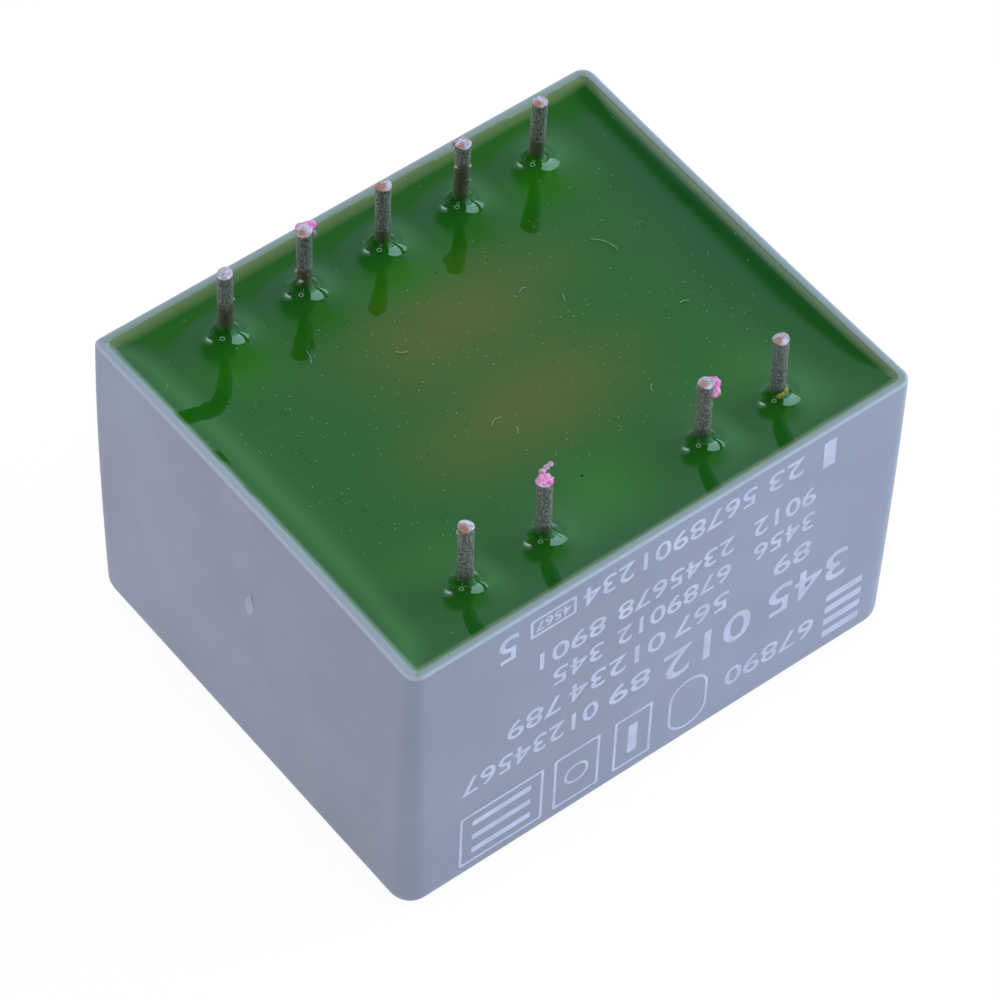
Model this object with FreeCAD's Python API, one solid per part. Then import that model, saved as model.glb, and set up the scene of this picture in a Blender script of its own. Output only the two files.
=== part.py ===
import FreeCAD, Part
import math
import os

# Encapsulated transformer for a circuit board, resting on the closed face of its case with its pins up.
# Sizes are in millimetres. The origin is under the centre of the closed face, X runs along the pin rows
# and +Z points out of the open, resin-filled side.

# Laminations: one E and one I in each layer, with the backs of the E sheets on alternate sides
CENTRE_LEG_WIDTH = 10.0
WINDOW_WIDTH = 5.0
SIDE_LEG_WIDTH = 5.0
WINDOW_LENGTH = 15.0
YOKE_WIDTH = 5.0
SHEET_THICKNESS = 0.5
SHEET_COUNT = 18

# Coil former: a tube round the centre leg, two end flanges, a divider and two pin rails
TUBE_PLAY = 0.1
TUBE_WALL = 0.7
TUBE_EDGE_RADIUS = 0.5
FLANGE_THICKNESS = 0.6
FLANGE_PLAY = 0.1
FLANGE_REACH = 4.3
FLANGE_CORNER_RADIUS = 1.0
DIVIDER_OFFSET = 1.2
NOTCH_WIDTH = 1.2
NOTCH_INSET = 1.6
RAIL_END_MARGIN = 1.5
RAIL_OUTER_MARGIN = 1.6
RAIL_CORNER_RADIUS = 0.5
POST_WIDTH = 1.6
POST_HEIGHT = 0.9
POST_INNER_MARGIN = 1.1

# Windings, their tapes and the wires that leave them
WINDING_BUILD = 2.1
TAPE_THICKNESS = 0.15
BARRIER_THICKNESS = 0.1
WIRE_DIAMETER = 0.5
WIRE_BEND = 0.42
WIRE_GAP = 0.02
WIRE_HOLE_PLAY = 0.05
WIRE_TO_TAPE = 0.05
WIRE_TURN_INSIDE = 0.5
WIRE_TURN_OUTSIDE = 0.9
WIRE_END_GAP = 0.1
OUTER_WIRE_START = 5.0
INNER_WIRE_START = 1.8

# Solder on the wound-up wire ends
SOLDER_RADIUS = 0.95
SOLDER_TOP_RADIUS = 0.55
SOLDER_WALL_HEIGHT = 0.6
SOLDER_HEIGHT = 0.85

# Pins: a 5 mm grid in two rows over the middles of the yokes, the middle place of the near row left empty
PIN_PITCH = 5.0
PIN_DIAMETER = 0.8
PIN_COAT = 0.04
PIN_COAT_RUN_IN = 0.6
PIN_STANDOUT = 4.45
PIN_SEAT_FLOOR = 0.4
PIN_TIP_CHAMFER = 0.06

# Each pin's number, its row (-1 near, +1 far) and its column, counted from the middle
PIN_PLACES = {
    1: (-1, 2),
    2: (-1, 1),
    4: (-1, -1),
    5: (-1, -2),
    6: (1, -2),
    7: (1, -1),
    8: (1, 0),
    9: (1, 1),
    10: (1, 2),
}

# Case: a drafted box with a closed face and an open rim, its walls thinnest at the rim
CORE_GAP_X = 0.35
CORE_GAP_Y = 0.25
RIM_WALL = 0.5
CASE_FLOOR = 1.1
CASE_DRAFT = 0.2
CAVITY_DRAFT = 1.0
CASE_CORNER_RADIUS = 1.4
CASE_BASE_RADIUS = 1.3
CAVITY_CORNER_RADIUS = 0.45
CAVITY_FLOOR_RADIUS = 0.3
RIM_OUTER_RADIUS = 0.14
RIM_INNER_RADIUS = 0.08
RIM_LAND_SHARE = 0.2

# Potting resin: its level below the rim, and the menisci at the walls and pins
RESIN_COVER = 0.65
RIM_STANDOUT = 0.65
WALL_MENISCUS_REACH = 1.4
WALL_MENISCUS_RISE = 0.42
PIN_MENISCUS_RADIUS = 1.1
PIN_CONTACT_ANGLE = 5.0
PIN_CONTACT_LAND = 0.02
COLLAR_ROOT = 0.2

# Places along X and Y that follow from these sizes
core_half_x = CENTRE_LEG_WIDTH / 2 + WINDOW_WIDTH + SIDE_LEG_WIDTH
core_half_y = WINDOW_LENGTH / 2 + YOKE_WIDTH
cavity_half_x = core_half_x + CORE_GAP_X
cavity_half_y = core_half_y + CORE_GAP_Y
flange_half_x = CENTRE_LEG_WIDTH / 2 + WINDOW_WIDTH - FLANGE_PLAY
former_half_y = WINDOW_LENGTH / 2 - FLANGE_PLAY
chamber_end_y = former_half_y - FLANGE_THICKNESS
divider_low_y = DIVIDER_OFFSET - FLANGE_THICKNESS / 2
divider_high_y = DIVIDER_OFFSET + FLANGE_THICKNESS / 2
secondary_length = (chamber_end_y - divider_high_y - BARRIER_THICKNESS) / 2
barrier_low_y = divider_high_y + secondary_length
barrier_high_y = barrier_low_y + BARRIER_THICKNESS
row_y = (WINDOW_LENGTH + YOKE_WIDTH) / 2
outer_column = max(abs(column) for row, column in PIN_PLACES.values())

# Heights that follow from these sizes
stack_height = SHEET_THICKNESS * SHEET_COUNT
stack_bottom_z = CASE_FLOOR + FLANGE_REACH
stack_top_z = stack_bottom_z + stack_height
stack_middle_z = (stack_bottom_z + stack_top_z) / 2
flange_half_z = stack_height / 2 + FLANGE_REACH
flange_top_z = stack_middle_z + flange_half_z
resin_level_z = flange_top_z + RESIN_COVER
rim_z = resin_level_z + RIM_STANDOUT
pin_tip_z = rim_z + PIN_STANDOUT

# The case's half sizes at z = 0, and its rim's roundings where the wall is thinnest, across its corners
wall_growth = rim_z * (math.tan(math.radians(CAVITY_DRAFT)) - math.tan(math.radians(CASE_DRAFT)))
case_half_x = cavity_half_x + wall_growth + RIM_WALL
case_half_y = cavity_half_y + wall_growth + RIM_WALL
corner_inset = (math.sqrt(2) - 1) * (CASE_CORNER_RADIUS - CAVITY_CORNER_RADIUS)
corner_wall = RIM_WALL * math.sqrt(2) - corner_inset
rounding_room = corner_wall * (1 - RIM_LAND_SHARE) / 2
rim_outer_radius = min(RIM_OUTER_RADIUS, rounding_room)
rim_inner_radius = min(RIM_INNER_RADIUS, rounding_room)

# The coil's section across the centre leg, as half sizes in X and Z
tube_inner_half_x = CENTRE_LEG_WIDTH / 2 + TUBE_PLAY
tube_inner_half_z = stack_height / 2 + TUBE_PLAY
tube_outer_half_x = tube_inner_half_x + TUBE_WALL
tube_outer_half_z = tube_inner_half_z + TUBE_WALL
winding_top_z = stack_middle_z + tube_outer_half_z + WINDING_BUILD
taped_top_z = winding_top_z + TAPE_THICKNESS
rail_top_z = taped_top_z + WIRE_TO_TAPE
wire_z = rail_top_z + WIRE_DIAMETER / 2 + WIRE_GAP

# The menisci: arcs that start level and steepen towards the wall or the pin
pin_radius = PIN_DIAMETER / 2
contact_turn = math.radians(90 - PIN_CONTACT_ANGLE)
pin_meniscus_rise = PIN_MENISCUS_RADIUS * (1 - math.cos(contact_turn))
pin_meniscus_reach = PIN_MENISCUS_RADIUS * math.sin(contact_turn) + PIN_CONTACT_LAND
pin_contact_z = resin_level_z + pin_meniscus_rise
wall_meniscus_radius = (
    WALL_MENISCUS_REACH**2 / WALL_MENISCUS_RISE + WALL_MENISCUS_RISE
) / 2

# Where each wired pin's wire leaves its winding
primary_wire_y = (divider_low_y - chamber_end_y) / 2
secondary_1_wire_y = (divider_high_y + barrier_low_y) / 2
secondary_2_wire_y = (barrier_high_y + chamber_end_y) / 2
WIRE_STARTS = {
    1: (OUTER_WIRE_START, primary_wire_y),
    5: (-OUTER_WIRE_START, primary_wire_y),
    6: (-OUTER_WIRE_START, secondary_1_wire_y),
    7: (-INNER_WIRE_START, secondary_1_wire_y),
    9: (INNER_WIRE_START, secondary_2_wire_y),
    10: (OUTER_WIRE_START, secondary_2_wire_y),
}


def draft_offset(z, draft):
    """How far a wall with a draft in degrees has moved outwards at height z."""
    return z * math.tan(math.radians(draft))


def box(x_range, y_range, z_range):
    """A box between two values on each axis."""
    size = [high - low for low, high in (x_range, y_range, z_range)]
    corner = FreeCAD.Vector(x_range[0], y_range[0], z_range[0])
    return Part.makeBox(*size, corner)


def drafted_block(half_x, half_y, z_low, z_high, draft, corner_radius, base_radius):
    """A block with drafted walls and rounded upright and lower edges; its half sizes are those at z = 0."""
    low_x = half_x + draft_offset(z_low, draft)
    low_y = half_y + draft_offset(z_low, draft)
    high_x = half_x + draft_offset(z_high, draft)
    high_y = half_y + draft_offset(z_high, draft)
    block = Part.makeWedge(
        -low_x, z_low, -low_y, -high_y, -high_x, low_x, z_high, low_y, high_y, high_x
    )
    block.rotate(FreeCAD.Vector(0, 0, 0), FreeCAD.Vector(1, 0, 0), 90)
    upright = [edge for edge in block.Edges if edge.BoundBox.ZLength > (z_high - z_low) / 2]
    block = block.makeFillet(corner_radius, upright)
    return block.makeFillet(base_radius, edges_at(block, z_low))


def edges_at(shape, z):
    """The edges that lie wholly at height z."""
    return [
        edge
        for edge in shape.Edges
        if abs(edge.BoundBox.ZMin - z) < 1e-4 and abs(edge.BoundBox.ZMax - z) < 1e-4
    ]


def coil_section(half_x, half_z, corner_radius, y_low, y_high):
    """A rounded bar along Y, centred on the core's middle height."""
    bar = box(
        (-half_x, half_x),
        (y_low, y_high),
        (stack_middle_z - half_z, stack_middle_z + half_z),
    )
    long_edges = [edge for edge in bar.Edges if edge.BoundBox.YLength > (y_high - y_low) / 2]
    return bar.makeFillet(corner_radius, long_edges)


def coil_ring(inner_growth, outer_growth, y_low, y_high):
    """A ring wound round the former's tube, between two distances from the tube's surface."""
    outer = coil_section(
        tube_outer_half_x + outer_growth,
        tube_outer_half_z + outer_growth,
        TUBE_EDGE_RADIUS + outer_growth,
        y_low,
        y_high,
    )
    inner = coil_section(
        tube_outer_half_x + inner_growth,
        tube_outer_half_z + inner_growth,
        TUBE_EDGE_RADIUS + inner_growth,
        y_low,
        y_high,
    )
    return outer.cut(inner)


def revolved(profile, centre):
    """A solid turned from a closed profile of (radius, height) points about an upright axis."""
    points = [FreeCAD.Vector(radius, 0, z) for radius, z in profile]
    face = Part.Face(Part.makePolygon(points + points[:1]))
    solid = face.revolve(FreeCAD.Vector(0, 0, 0), FreeCAD.Vector(0, 0, 1), 360)
    solid.translate(centre)
    return solid


def rounded_path(points, radius):
    """Straight runs through the points, joined by tangent arcs of one radius."""
    edges = []
    start = points[0]
    for before, corner, after in zip(points, points[1:], points[2:]):
        back = (before - corner).normalize()
        ahead = (after - corner).normalize()
        half_turn = (math.pi - back.getAngle(ahead)) / 2
        run = radius * math.tan(half_turn)
        inward = (back + ahead).normalize()
        arc_start = corner + back * run
        arc_end = corner + ahead * run
        arc_middle = corner + inward * radius * (1 / math.cos(half_turn) - 1)
        edges.append(Part.makeLine(start, arc_start))
        edges.append(Part.Arc(arc_start, arc_middle, arc_end).toShape())
        start = arc_end
    edges.append(Part.makeLine(start, points[-1]))
    return Part.Wire(edges)


def pin_centre(number):
    """The place of a numbered pin on the closed face's plane."""
    row, column = PIN_PLACES[number]
    return FreeCAD.Vector(column * PIN_PITCH, row * row_y, 0)


def case():
    """The moulded box, open at the rim."""
    outer = drafted_block(
        case_half_x,
        case_half_y,
        0,
        rim_z,
        CASE_DRAFT,
        CASE_CORNER_RADIUS,
        CASE_BASE_RADIUS,
    )
    outer = outer.makeFillet(rim_outer_radius, edges_at(outer, rim_z))
    shell = outer.cut(cavity(rim_z))
    rim_face = [face for face in shell.Faces if face.BoundBox.ZMin > rim_z - 1e-4][0]
    inner_wires = [wire for wire in rim_face.Wires if not wire.isSame(rim_face.OuterWire)]
    return shell.makeFillet(rim_inner_radius, inner_wires[0].Edges)


def cavity(top_z):
    """The space inside the case, up to the given height."""
    return drafted_block(
        cavity_half_x,
        cavity_half_y,
        CASE_FLOOR,
        top_z,
        CAVITY_DRAFT,
        CAVITY_CORNER_RADIUS,
        CAVITY_FLOOR_RADIUS,
    )


def e_sheet(side, z):
    """One E-shaped sheet whose back is on the given side of Y."""
    leg = CENTRE_LEG_WIDTH / 2
    window = leg + WINDOW_WIDTH
    tip = -WINDOW_LENGTH / 2
    bridge = WINDOW_LENGTH / 2
    half_outline = [
        (core_half_x, core_half_y),
        (core_half_x, tip),
        (window, tip),
        (window, bridge),
        (leg, bridge),
        (leg, tip),
    ]
    outline = half_outline + [(-x, y) for x, y in reversed(half_outline)]
    points = [FreeCAD.Vector(x, side * y, z) for x, y in outline]
    face = Part.Face(Part.makePolygon(points + points[:1]))
    return face.extrude(FreeCAD.Vector(0, 0, SHEET_THICKNESS))


def i_sheet(side, z):
    """The straight sheet that closes the open end of an E whose back is on the given side."""
    edge_y = sorted((-side * WINDOW_LENGTH / 2, -side * core_half_y))
    return box((-core_half_x, core_half_x), edge_y, (z, z + SHEET_THICKNESS))


def lamination_stack(sheet):
    """The sheets of one shape, turned about in alternate layers."""
    sheets = []
    for layer in range(SHEET_COUNT):
        side = 1 if layer % 2 == 0 else -1
        sheets.append(sheet(side, stack_bottom_z + layer * SHEET_THICKNESS))
    return Part.makeCompound(sheets)


def flange(y_low):
    """One plate across the coil former."""
    return coil_section(
        flange_half_x, flange_half_z, FLANGE_CORNER_RADIUS, y_low, y_low + FLANGE_THICKNESS
    )


def notch_x(number):
    """Where the wire of a numbered pin leaves through the end flange."""
    x = pin_centre(number).x
    return x - math.copysign(NOTCH_INSET, x)


def pin_rail(row):
    """The bar that holds one row of pins, with posts that keep the wires apart."""
    near_y = former_half_y
    far_y = row_y + RAIL_OUTER_MARGIN
    half_length = outer_column * PIN_PITCH + RAIL_END_MARGIN
    rail = box((-half_length, half_length), (near_y, far_y), (stack_top_z, rail_top_z))
    corners = [
        edge
        for edge in rail.Edges
        if edge.BoundBox.ZLength > (rail_top_z - stack_top_z) / 2 and edge.BoundBox.YMin > row_y
    ]
    rail = rail.makeFillet(RAIL_CORNER_RADIUS, corners)
    for step in range(2 * outer_column):
        middle_x = (step - outer_column + 0.5) * PIN_PITCH
        post = box(
            (middle_x - POST_WIDTH / 2, middle_x + POST_WIDTH / 2),
            (row_y - POST_INNER_MARGIN, far_y),
            (rail_top_z, rail_top_z + POST_HEIGHT),
        )
        rail = rail.fuse(post)
    if row < 0:
        rail.rotate(FreeCAD.Vector(0, 0, 0), FreeCAD.Vector(0, 0, 1), 180)
    return rail


def former_body():
    """The coil former before its passage, notches and pin bores are cut."""
    body = coil_section(
        tube_outer_half_x, tube_outer_half_z, TUBE_EDGE_RADIUS, -former_half_y, former_half_y
    )
    plates = [flange(-former_half_y), flange(divider_low_y), flange(chamber_end_y)]
    body = body.fuse(plates + [pin_rail(-1), pin_rail(1)])
    for number in WIRE_STARTS:
        y_range = sorted(
            (
                math.copysign(chamber_end_y, pin_centre(number).y),
                math.copysign(former_half_y, pin_centre(number).y),
            )
        )
        middle_x = notch_x(number)
        notch = box(
            (middle_x - NOTCH_WIDTH / 2, middle_x + NOTCH_WIDTH / 2),
            y_range,
            (rail_top_z, rim_z),
        )
        body = body.cut(notch)
    return body.removeSplitter()


def coil_former():
    """The moulded former, bored for the centre leg and the pins."""
    passage = box(
        (-tube_inner_half_x, tube_inner_half_x),
        (-former_half_y, former_half_y),
        (stack_middle_z - tube_inner_half_z, stack_middle_z + tube_inner_half_z),
    )
    bores = [pin_shank(number) for number in PIN_PLACES]
    return former_body().cut([passage] + bores)


def pin_shank(number):
    """The bare wire of a pin, from its seat to where the solder coat begins."""
    seat = pin_centre(number) + FreeCAD.Vector(0, 0, stack_top_z + PIN_SEAT_FLOOR)
    length = pin_contact_z - seat.z
    return Part.makeCylinder(pin_radius, length, seat)


def pin(number):
    """One pin: bare wire up to the resin's edge, then the old solder that coats it to the cut tip."""
    coated = pin_radius + PIN_COAT
    coat_z = pin_contact_z + PIN_COAT_RUN_IN
    profile = [
        (coated, coat_z),
        (coated, pin_tip_z - PIN_TIP_CHAMFER),
        (coated - PIN_TIP_CHAMFER, pin_tip_z),
        (0, pin_tip_z),
        (0, stack_top_z + PIN_SEAT_FLOOR),
        (pin_radius, stack_top_z + PIN_SEAT_FLOOR),
        (pin_radius, pin_contact_z),
    ]
    return revolved(profile, pin_centre(number))


def wire(number):
    """The wire from a winding's surface, through the flange notch, to the foot of its pin."""
    start_x, start_y = WIRE_STARTS[number]
    centre = pin_centre(number)
    across = notch_x(number)
    inside_y = math.copysign(chamber_end_y - WIRE_TURN_INSIDE, centre.y)
    outside_y = math.copysign(former_half_y + WIRE_TURN_OUTSIDE, centre.y)
    last_turn = FreeCAD.Vector(across, outside_y, wire_z)
    foot = FreeCAD.Vector(centre.x, centre.y, wire_z)
    away = (last_turn - foot).normalize()
    path = rounded_path(
        [
            FreeCAD.Vector(start_x, start_y, winding_top_z),
            FreeCAD.Vector(start_x, start_y, wire_z),
            FreeCAD.Vector(across, inside_y, wire_z),
            last_turn,
            foot + away * (pin_radius + WIRE_END_GAP),
        ],
        WIRE_BEND,
    )
    circle = Part.makeCircle(WIRE_DIAMETER / 2, path.Vertexes[0].Point, FreeCAD.Vector(0, 0, 1))
    return path.makePipeShell([Part.Wire(circle)], True, True)


def solder_profile():
    """The outline of a solder joint about its pin's axis."""
    return [
        (pin_radius, rail_top_z),
        (SOLDER_RADIUS, rail_top_z),
        (SOLDER_RADIUS, rail_top_z + SOLDER_WALL_HEIGHT),
        (SOLDER_TOP_RADIUS, rail_top_z + SOLDER_HEIGHT),
        (pin_radius, rail_top_z + SOLDER_HEIGHT),
    ]


def solder_joints():
    """Solder that joins each wire's end to its pin."""
    joints = []
    for number in WIRE_STARTS:
        joint = revolved(solder_profile(), pin_centre(number))
        joints.append(joint.cut(wire(number)))
    return Part.makeCompound(joints)


def tape(y_low, y_high):
    """The tape over one chamber, with a hole for each wire that leaves it."""
    band = coil_ring(WINDING_BUILD, WINDING_BUILD + TAPE_THICKNESS, y_low, y_high)
    for start_x, start_y in WIRE_STARTS.values():
        if y_low < start_y < y_high:
            foot = FreeCAD.Vector(start_x, start_y, winding_top_z - TAPE_THICKNESS)
            hole = Part.makeCylinder(
                WIRE_DIAMETER / 2 + WIRE_HOLE_PLAY, 3 * TAPE_THICKNESS, foot
            )
            band = band.cut(hole)
    return band


def pin_collar(number):
    """The resin drawn up a pin: level at its edge and nearly upright where it meets the wire."""
    edge_radius = pin_radius + pin_meniscus_reach
    turn_centre_z = resin_level_z + PIN_MENISCUS_RADIUS

    def arc_point(turn):
        radius = edge_radius - PIN_MENISCUS_RADIUS * math.sin(turn)
        return FreeCAD.Vector(radius, 0, turn_centre_z - PIN_MENISCUS_RADIUS * math.cos(turn))

    surface = Part.Arc(arc_point(0), arc_point(contact_turn / 2), arc_point(contact_turn)).toShape()
    top = arc_point(contact_turn)
    axis_top = FreeCAD.Vector(0, 0, top.z)
    axis_low = FreeCAD.Vector(0, 0, resin_level_z - COLLAR_ROOT)
    outer_low = FreeCAD.Vector(edge_radius, 0, axis_low.z)
    sides = Part.makePolygon([top, axis_top, axis_low, outer_low, arc_point(0)])
    face = Part.Face(Part.Wire([surface] + sides.Edges))
    collar = face.revolve(FreeCAD.Vector(0, 0, 0), FreeCAD.Vector(0, 0, 1), 360)
    collar.translate(pin_centre(number))
    return collar


def air_above_resin():
    """The space over the resin, whose rounded lower edges leave the meniscus along the walls."""
    overhang = wall_meniscus_radius - WALL_MENISCUS_REACH
    half_x = cavity_half_x + draft_offset(resin_level_z, CAVITY_DRAFT) + overhang
    half_y = cavity_half_y + draft_offset(resin_level_z, CAVITY_DRAFT) + overhang
    top_z = rim_z + 2 * wall_meniscus_radius
    air = box((-half_x, half_x), (-half_y, half_y), (resin_level_z, top_z))
    rounded = [edge for edge in air.Edges if edge.BoundBox.ZMin < resin_level_z + 1e-4]
    return air.makeFillet(wall_meniscus_radius, rounded)


def potting_resin():
    """The cast resin, from the case's floor to its menisci, less all that it holds."""
    resin = cavity(rim_z - rim_inner_radius).cut(air_above_resin())
    resin = resin.fuse([pin_collar(number) for number in PIN_PLACES])
    core = box(
        (-core_half_x, core_half_x), (-core_half_y, core_half_y), (stack_bottom_z, stack_top_z)
    )
    taped_half_x = tube_outer_half_x + WINDING_BUILD + TAPE_THICKNESS
    taped_half_z = tube_outer_half_z + WINDING_BUILD + TAPE_THICKNESS
    taped_coil = coil_section(
        taped_half_x,
        taped_half_z,
        TUBE_EDGE_RADIUS + WINDING_BUILD + TAPE_THICKNESS,
        -chamber_end_y,
        chamber_end_y,
    )
    joints = [revolved(solder_profile(), pin_centre(number)) for number in WIRE_STARTS]
    held = [core, former_body(), taped_coil] + joints
    held += [pin_shank(number) for number in PIN_PLACES]
    held += [wire(number) for number in WIRE_STARTS]
    return resin.cut(held)


def winding_nodes():
    """The three windings with the tapes over and between them."""
    taped = WINDING_BUILD + TAPE_THICKNESS
    return {
        "primary_winding": coil_ring(0, WINDING_BUILD, -chamber_end_y, divider_low_y),
        "secondary_winding_1": coil_ring(0, WINDING_BUILD, divider_high_y, barrier_low_y),
        "secondary_winding_2": coil_ring(0, WINDING_BUILD, barrier_high_y, chamber_end_y),
        "secondary_barrier": coil_ring(0, WINDING_BUILD, barrier_low_y, barrier_high_y),
        "primary_tape": tape(-chamber_end_y, divider_low_y),
        "secondary_tape": tape(divider_high_y, chamber_end_y),
    }


def main():
    """Build every node and write it to its own file."""
    nodes = {
        "case": case(),
        "potting_resin": potting_resin(),
        "coil_former": coil_former(),
        "e_laminations": lamination_stack(e_sheet),
        "i_laminations": lamination_stack(i_sheet),
        "solder_joints": solder_joints(),
    }
    nodes.update(winding_nodes())
    for number in PIN_PLACES:
        nodes[f"pin_{number}"] = pin(number)
    for number in WIRE_STARTS:
        winding = "primary" if pin_centre(number).y < 0 else "secondary"
        nodes[f"{winding}_wire_{number}"] = wire(number)
    os.makedirs("parts", exist_ok=True)
    for name, shape in nodes.items():
        shape.exportStep(f"parts/{name}.step")
        print(name, len(shape.Solids), shape.isValid(), round(shape.Volume, 3))


main()
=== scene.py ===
"""The looks of a sealed circuit-board transformer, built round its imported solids.

The solids give every size and place. This script dresses them: it casts the potting resin with its
menisci, moulds the case's fine rim, makes the clipped pins, and gives each inner piece its finish.
"""

import logging
import math
import random
from collections.abc import Iterable, Sequence
from dataclasses import dataclass, field
from enum import Enum
from typing import ClassVar

import bmesh
import bpy
from mathutils import Matrix, Vector, geometry, noise


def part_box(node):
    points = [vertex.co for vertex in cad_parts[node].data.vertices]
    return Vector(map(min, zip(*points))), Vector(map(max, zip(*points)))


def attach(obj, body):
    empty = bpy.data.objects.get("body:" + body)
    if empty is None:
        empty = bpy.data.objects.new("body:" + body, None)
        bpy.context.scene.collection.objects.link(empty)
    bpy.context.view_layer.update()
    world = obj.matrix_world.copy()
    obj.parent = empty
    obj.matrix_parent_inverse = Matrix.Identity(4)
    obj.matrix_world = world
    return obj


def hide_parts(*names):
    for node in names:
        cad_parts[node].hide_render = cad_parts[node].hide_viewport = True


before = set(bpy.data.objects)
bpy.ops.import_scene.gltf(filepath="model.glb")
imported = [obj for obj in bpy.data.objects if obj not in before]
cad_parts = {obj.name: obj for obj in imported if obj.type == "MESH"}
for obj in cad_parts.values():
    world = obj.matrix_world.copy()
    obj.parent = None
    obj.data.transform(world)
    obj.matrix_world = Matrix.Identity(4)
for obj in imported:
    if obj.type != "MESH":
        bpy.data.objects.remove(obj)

LOG = logging.getLogger("board_transformer")
MM = 0.001
Point2 = tuple[float, float]
Point3 = tuple[float, float, float]
Colour = Point3
Piece = bpy.types.Object
Socket = bpy.types.NodeSocket
# What a socket takes: another node's output, or a plain value.
Feed = object
# A rectangle's corners, anticlockwise: the sides that they are on, and where their arcs start.
CORNERS = ((1, 1, 0), (-1, 1, 90), (-1, -1, 180), (1, -1, 270))


def rgba(colour: Colour) -> tuple[float, float, float, float]:
    """A linear colour with full alpha."""
    return (*colour, 1.0)


class NodeDesk:
    """Places nodes in one tree and joins them."""

    def __init__(self, tree: bpy.types.NodeTree) -> None:
        """Keeps the tree that the nodes go into."""
        self.tree = tree

    def feed(self, socket: Socket, value: Feed) -> None:
        """Links an output to a socket, or sets the socket's own value.

        Args:
            socket: The input that takes the value.
            value: An output socket, or a plain value.
        """
        if isinstance(value, Socket):
            self.tree.links.new(value, socket)
        else:
            socket.default_value = value

    def add(self, kind: str, feeds: dict | None = None, **settings: object) -> bpy.types.Node:
        """Makes a node.

        Args:
            kind: The node's type name.
            feeds: Input names or numbers, with what each takes.
            settings: The node's own properties.

        Returns:
            The new node.
        """
        node = self.tree.nodes.new(kind)
        for name, value in settings.items():
            setattr(node, name, value)
        for key, value in (feeds or {}).items():
            self.feed(node.inputs[key], value)
        return node

    def calc(self, operation: str, *operands: Feed, clamp: bool = False) -> Socket:
        """The result of a Math node.

        Args:
            operation: The Math node's operation.
            operands: Its inputs, in order.
            clamp: Whether the result is kept between 0 and 1.

        Returns:
            The result's socket.
        """
        feeds = dict(enumerate(operands))
        return self.add("ShaderNodeMath", feeds, operation=operation, use_clamp=clamp).outputs[0]

    def vector(self, operation: str, *operands: Feed, scale: Feed | None = None) -> Socket:
        """The result of a Vector Math node.

        Args:
            operation: The node's operation.
            operands: Its vector inputs, in order.
            scale: The factor of a SCALE operation.

        Returns:
            The vector, or the number for LENGTH, DISTANCE and DOT_PRODUCT.
        """
        node = self.add("ShaderNodeVectorMath", dict(enumerate(operands)), operation=operation)
        if scale is not None:
            self.feed(node.inputs["Scale"], scale)
        number = operation in ("LENGTH", "DISTANCE", "DOT_PRODUCT")
        return node.outputs["Value" if number else "Vector"]

    def fade(self, value: Feed, start: float, end: float) -> Socket:
        """A smooth step from 0 at start to 1 at end.

        Args:
            value: What is measured.
            start: Where the result is 0.
            end: Where the result is 1.

        Returns:
            The step's socket.
        """
        low, high = (start, end) if start < end else (end, start)
        feeds = {"Value": value, "From Min": low, "From Max": high}
        feeds["To Min"], feeds["To Max"] = (0.0, 1.0) if start < end else (1.0, 0.0)
        node = self.add("ShaderNodeMapRange", feeds, interpolation_type="SMOOTHSTEP")
        return node.outputs["Result"]

    def blend(self, share: Feed, first: Feed, second: Feed) -> Socket:
        """A mix of two colours.

        Args:
            share: The second colour's share.
            first: The colour at share 0.
            second: The colour at share 1.

        Returns:
            The mixed colour's socket.
        """
        node = self.add("ShaderNodeMix", {0: share, 6: first, 7: second}, data_type="RGBA")
        return node.outputs[2]

    def grain(self, place: Feed, scale: float, detail: float = 2.0, rough: float = 0.5) -> Socket:
        """Noise between 0 and 1.

        Args:
            place: The point that is read, in millimetres.
            scale: How many features lie in a millimetre.
            detail: The number of finer layers.
            rough: How strong the finer layers are.

        Returns:
            The noise value's socket.
        """
        feeds = {"Vector": place, "Scale": scale, "Detail": detail, "Roughness": rough}
        return self.add("ShaderNodeTexNoise", feeds).outputs[0]

    def split(self, vector: Feed) -> tuple[Socket, ...]:
        """The X, Y and Z of a vector."""
        return tuple(self.add("ShaderNodeSeparateXYZ", {0: vector}).outputs)

    def join(self, feeds: dict[int, Feed]) -> Socket:
        """A vector from its parts 0, 1 and 2; what is left out is 0."""
        return self.add("ShaderNodeCombineXYZ", feeds).outputs[0]

    def attribute(self, name: str, output: str = "Fac") -> Socket:
        """A value that the mesh carries under a name."""
        return self.add("ShaderNodeAttribute", attribute_name=name).outputs[output]

    def blob(self, place: Feed, centre: Point2, radii: Point2) -> Socket:
        """A soft patch seen from above, 1 in the middle and 0 from its edge on.

        Args:
            place: The point that is read, in millimetres.
            centre: The patch's middle, in millimetres.
            radii: Its half sizes along X and Y, in millimetres.

        Returns:
            The patch's strength.
        """
        offset = self.vector("SUBTRACT", place, (*centre, 0.0))
        scaled = self.vector("MULTIPLY", offset, (1 / radii[0], 1 / radii[1], 0.0))
        return self.fade(self.vector("LENGTH", scaled), 1.0, 0.0)


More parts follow.
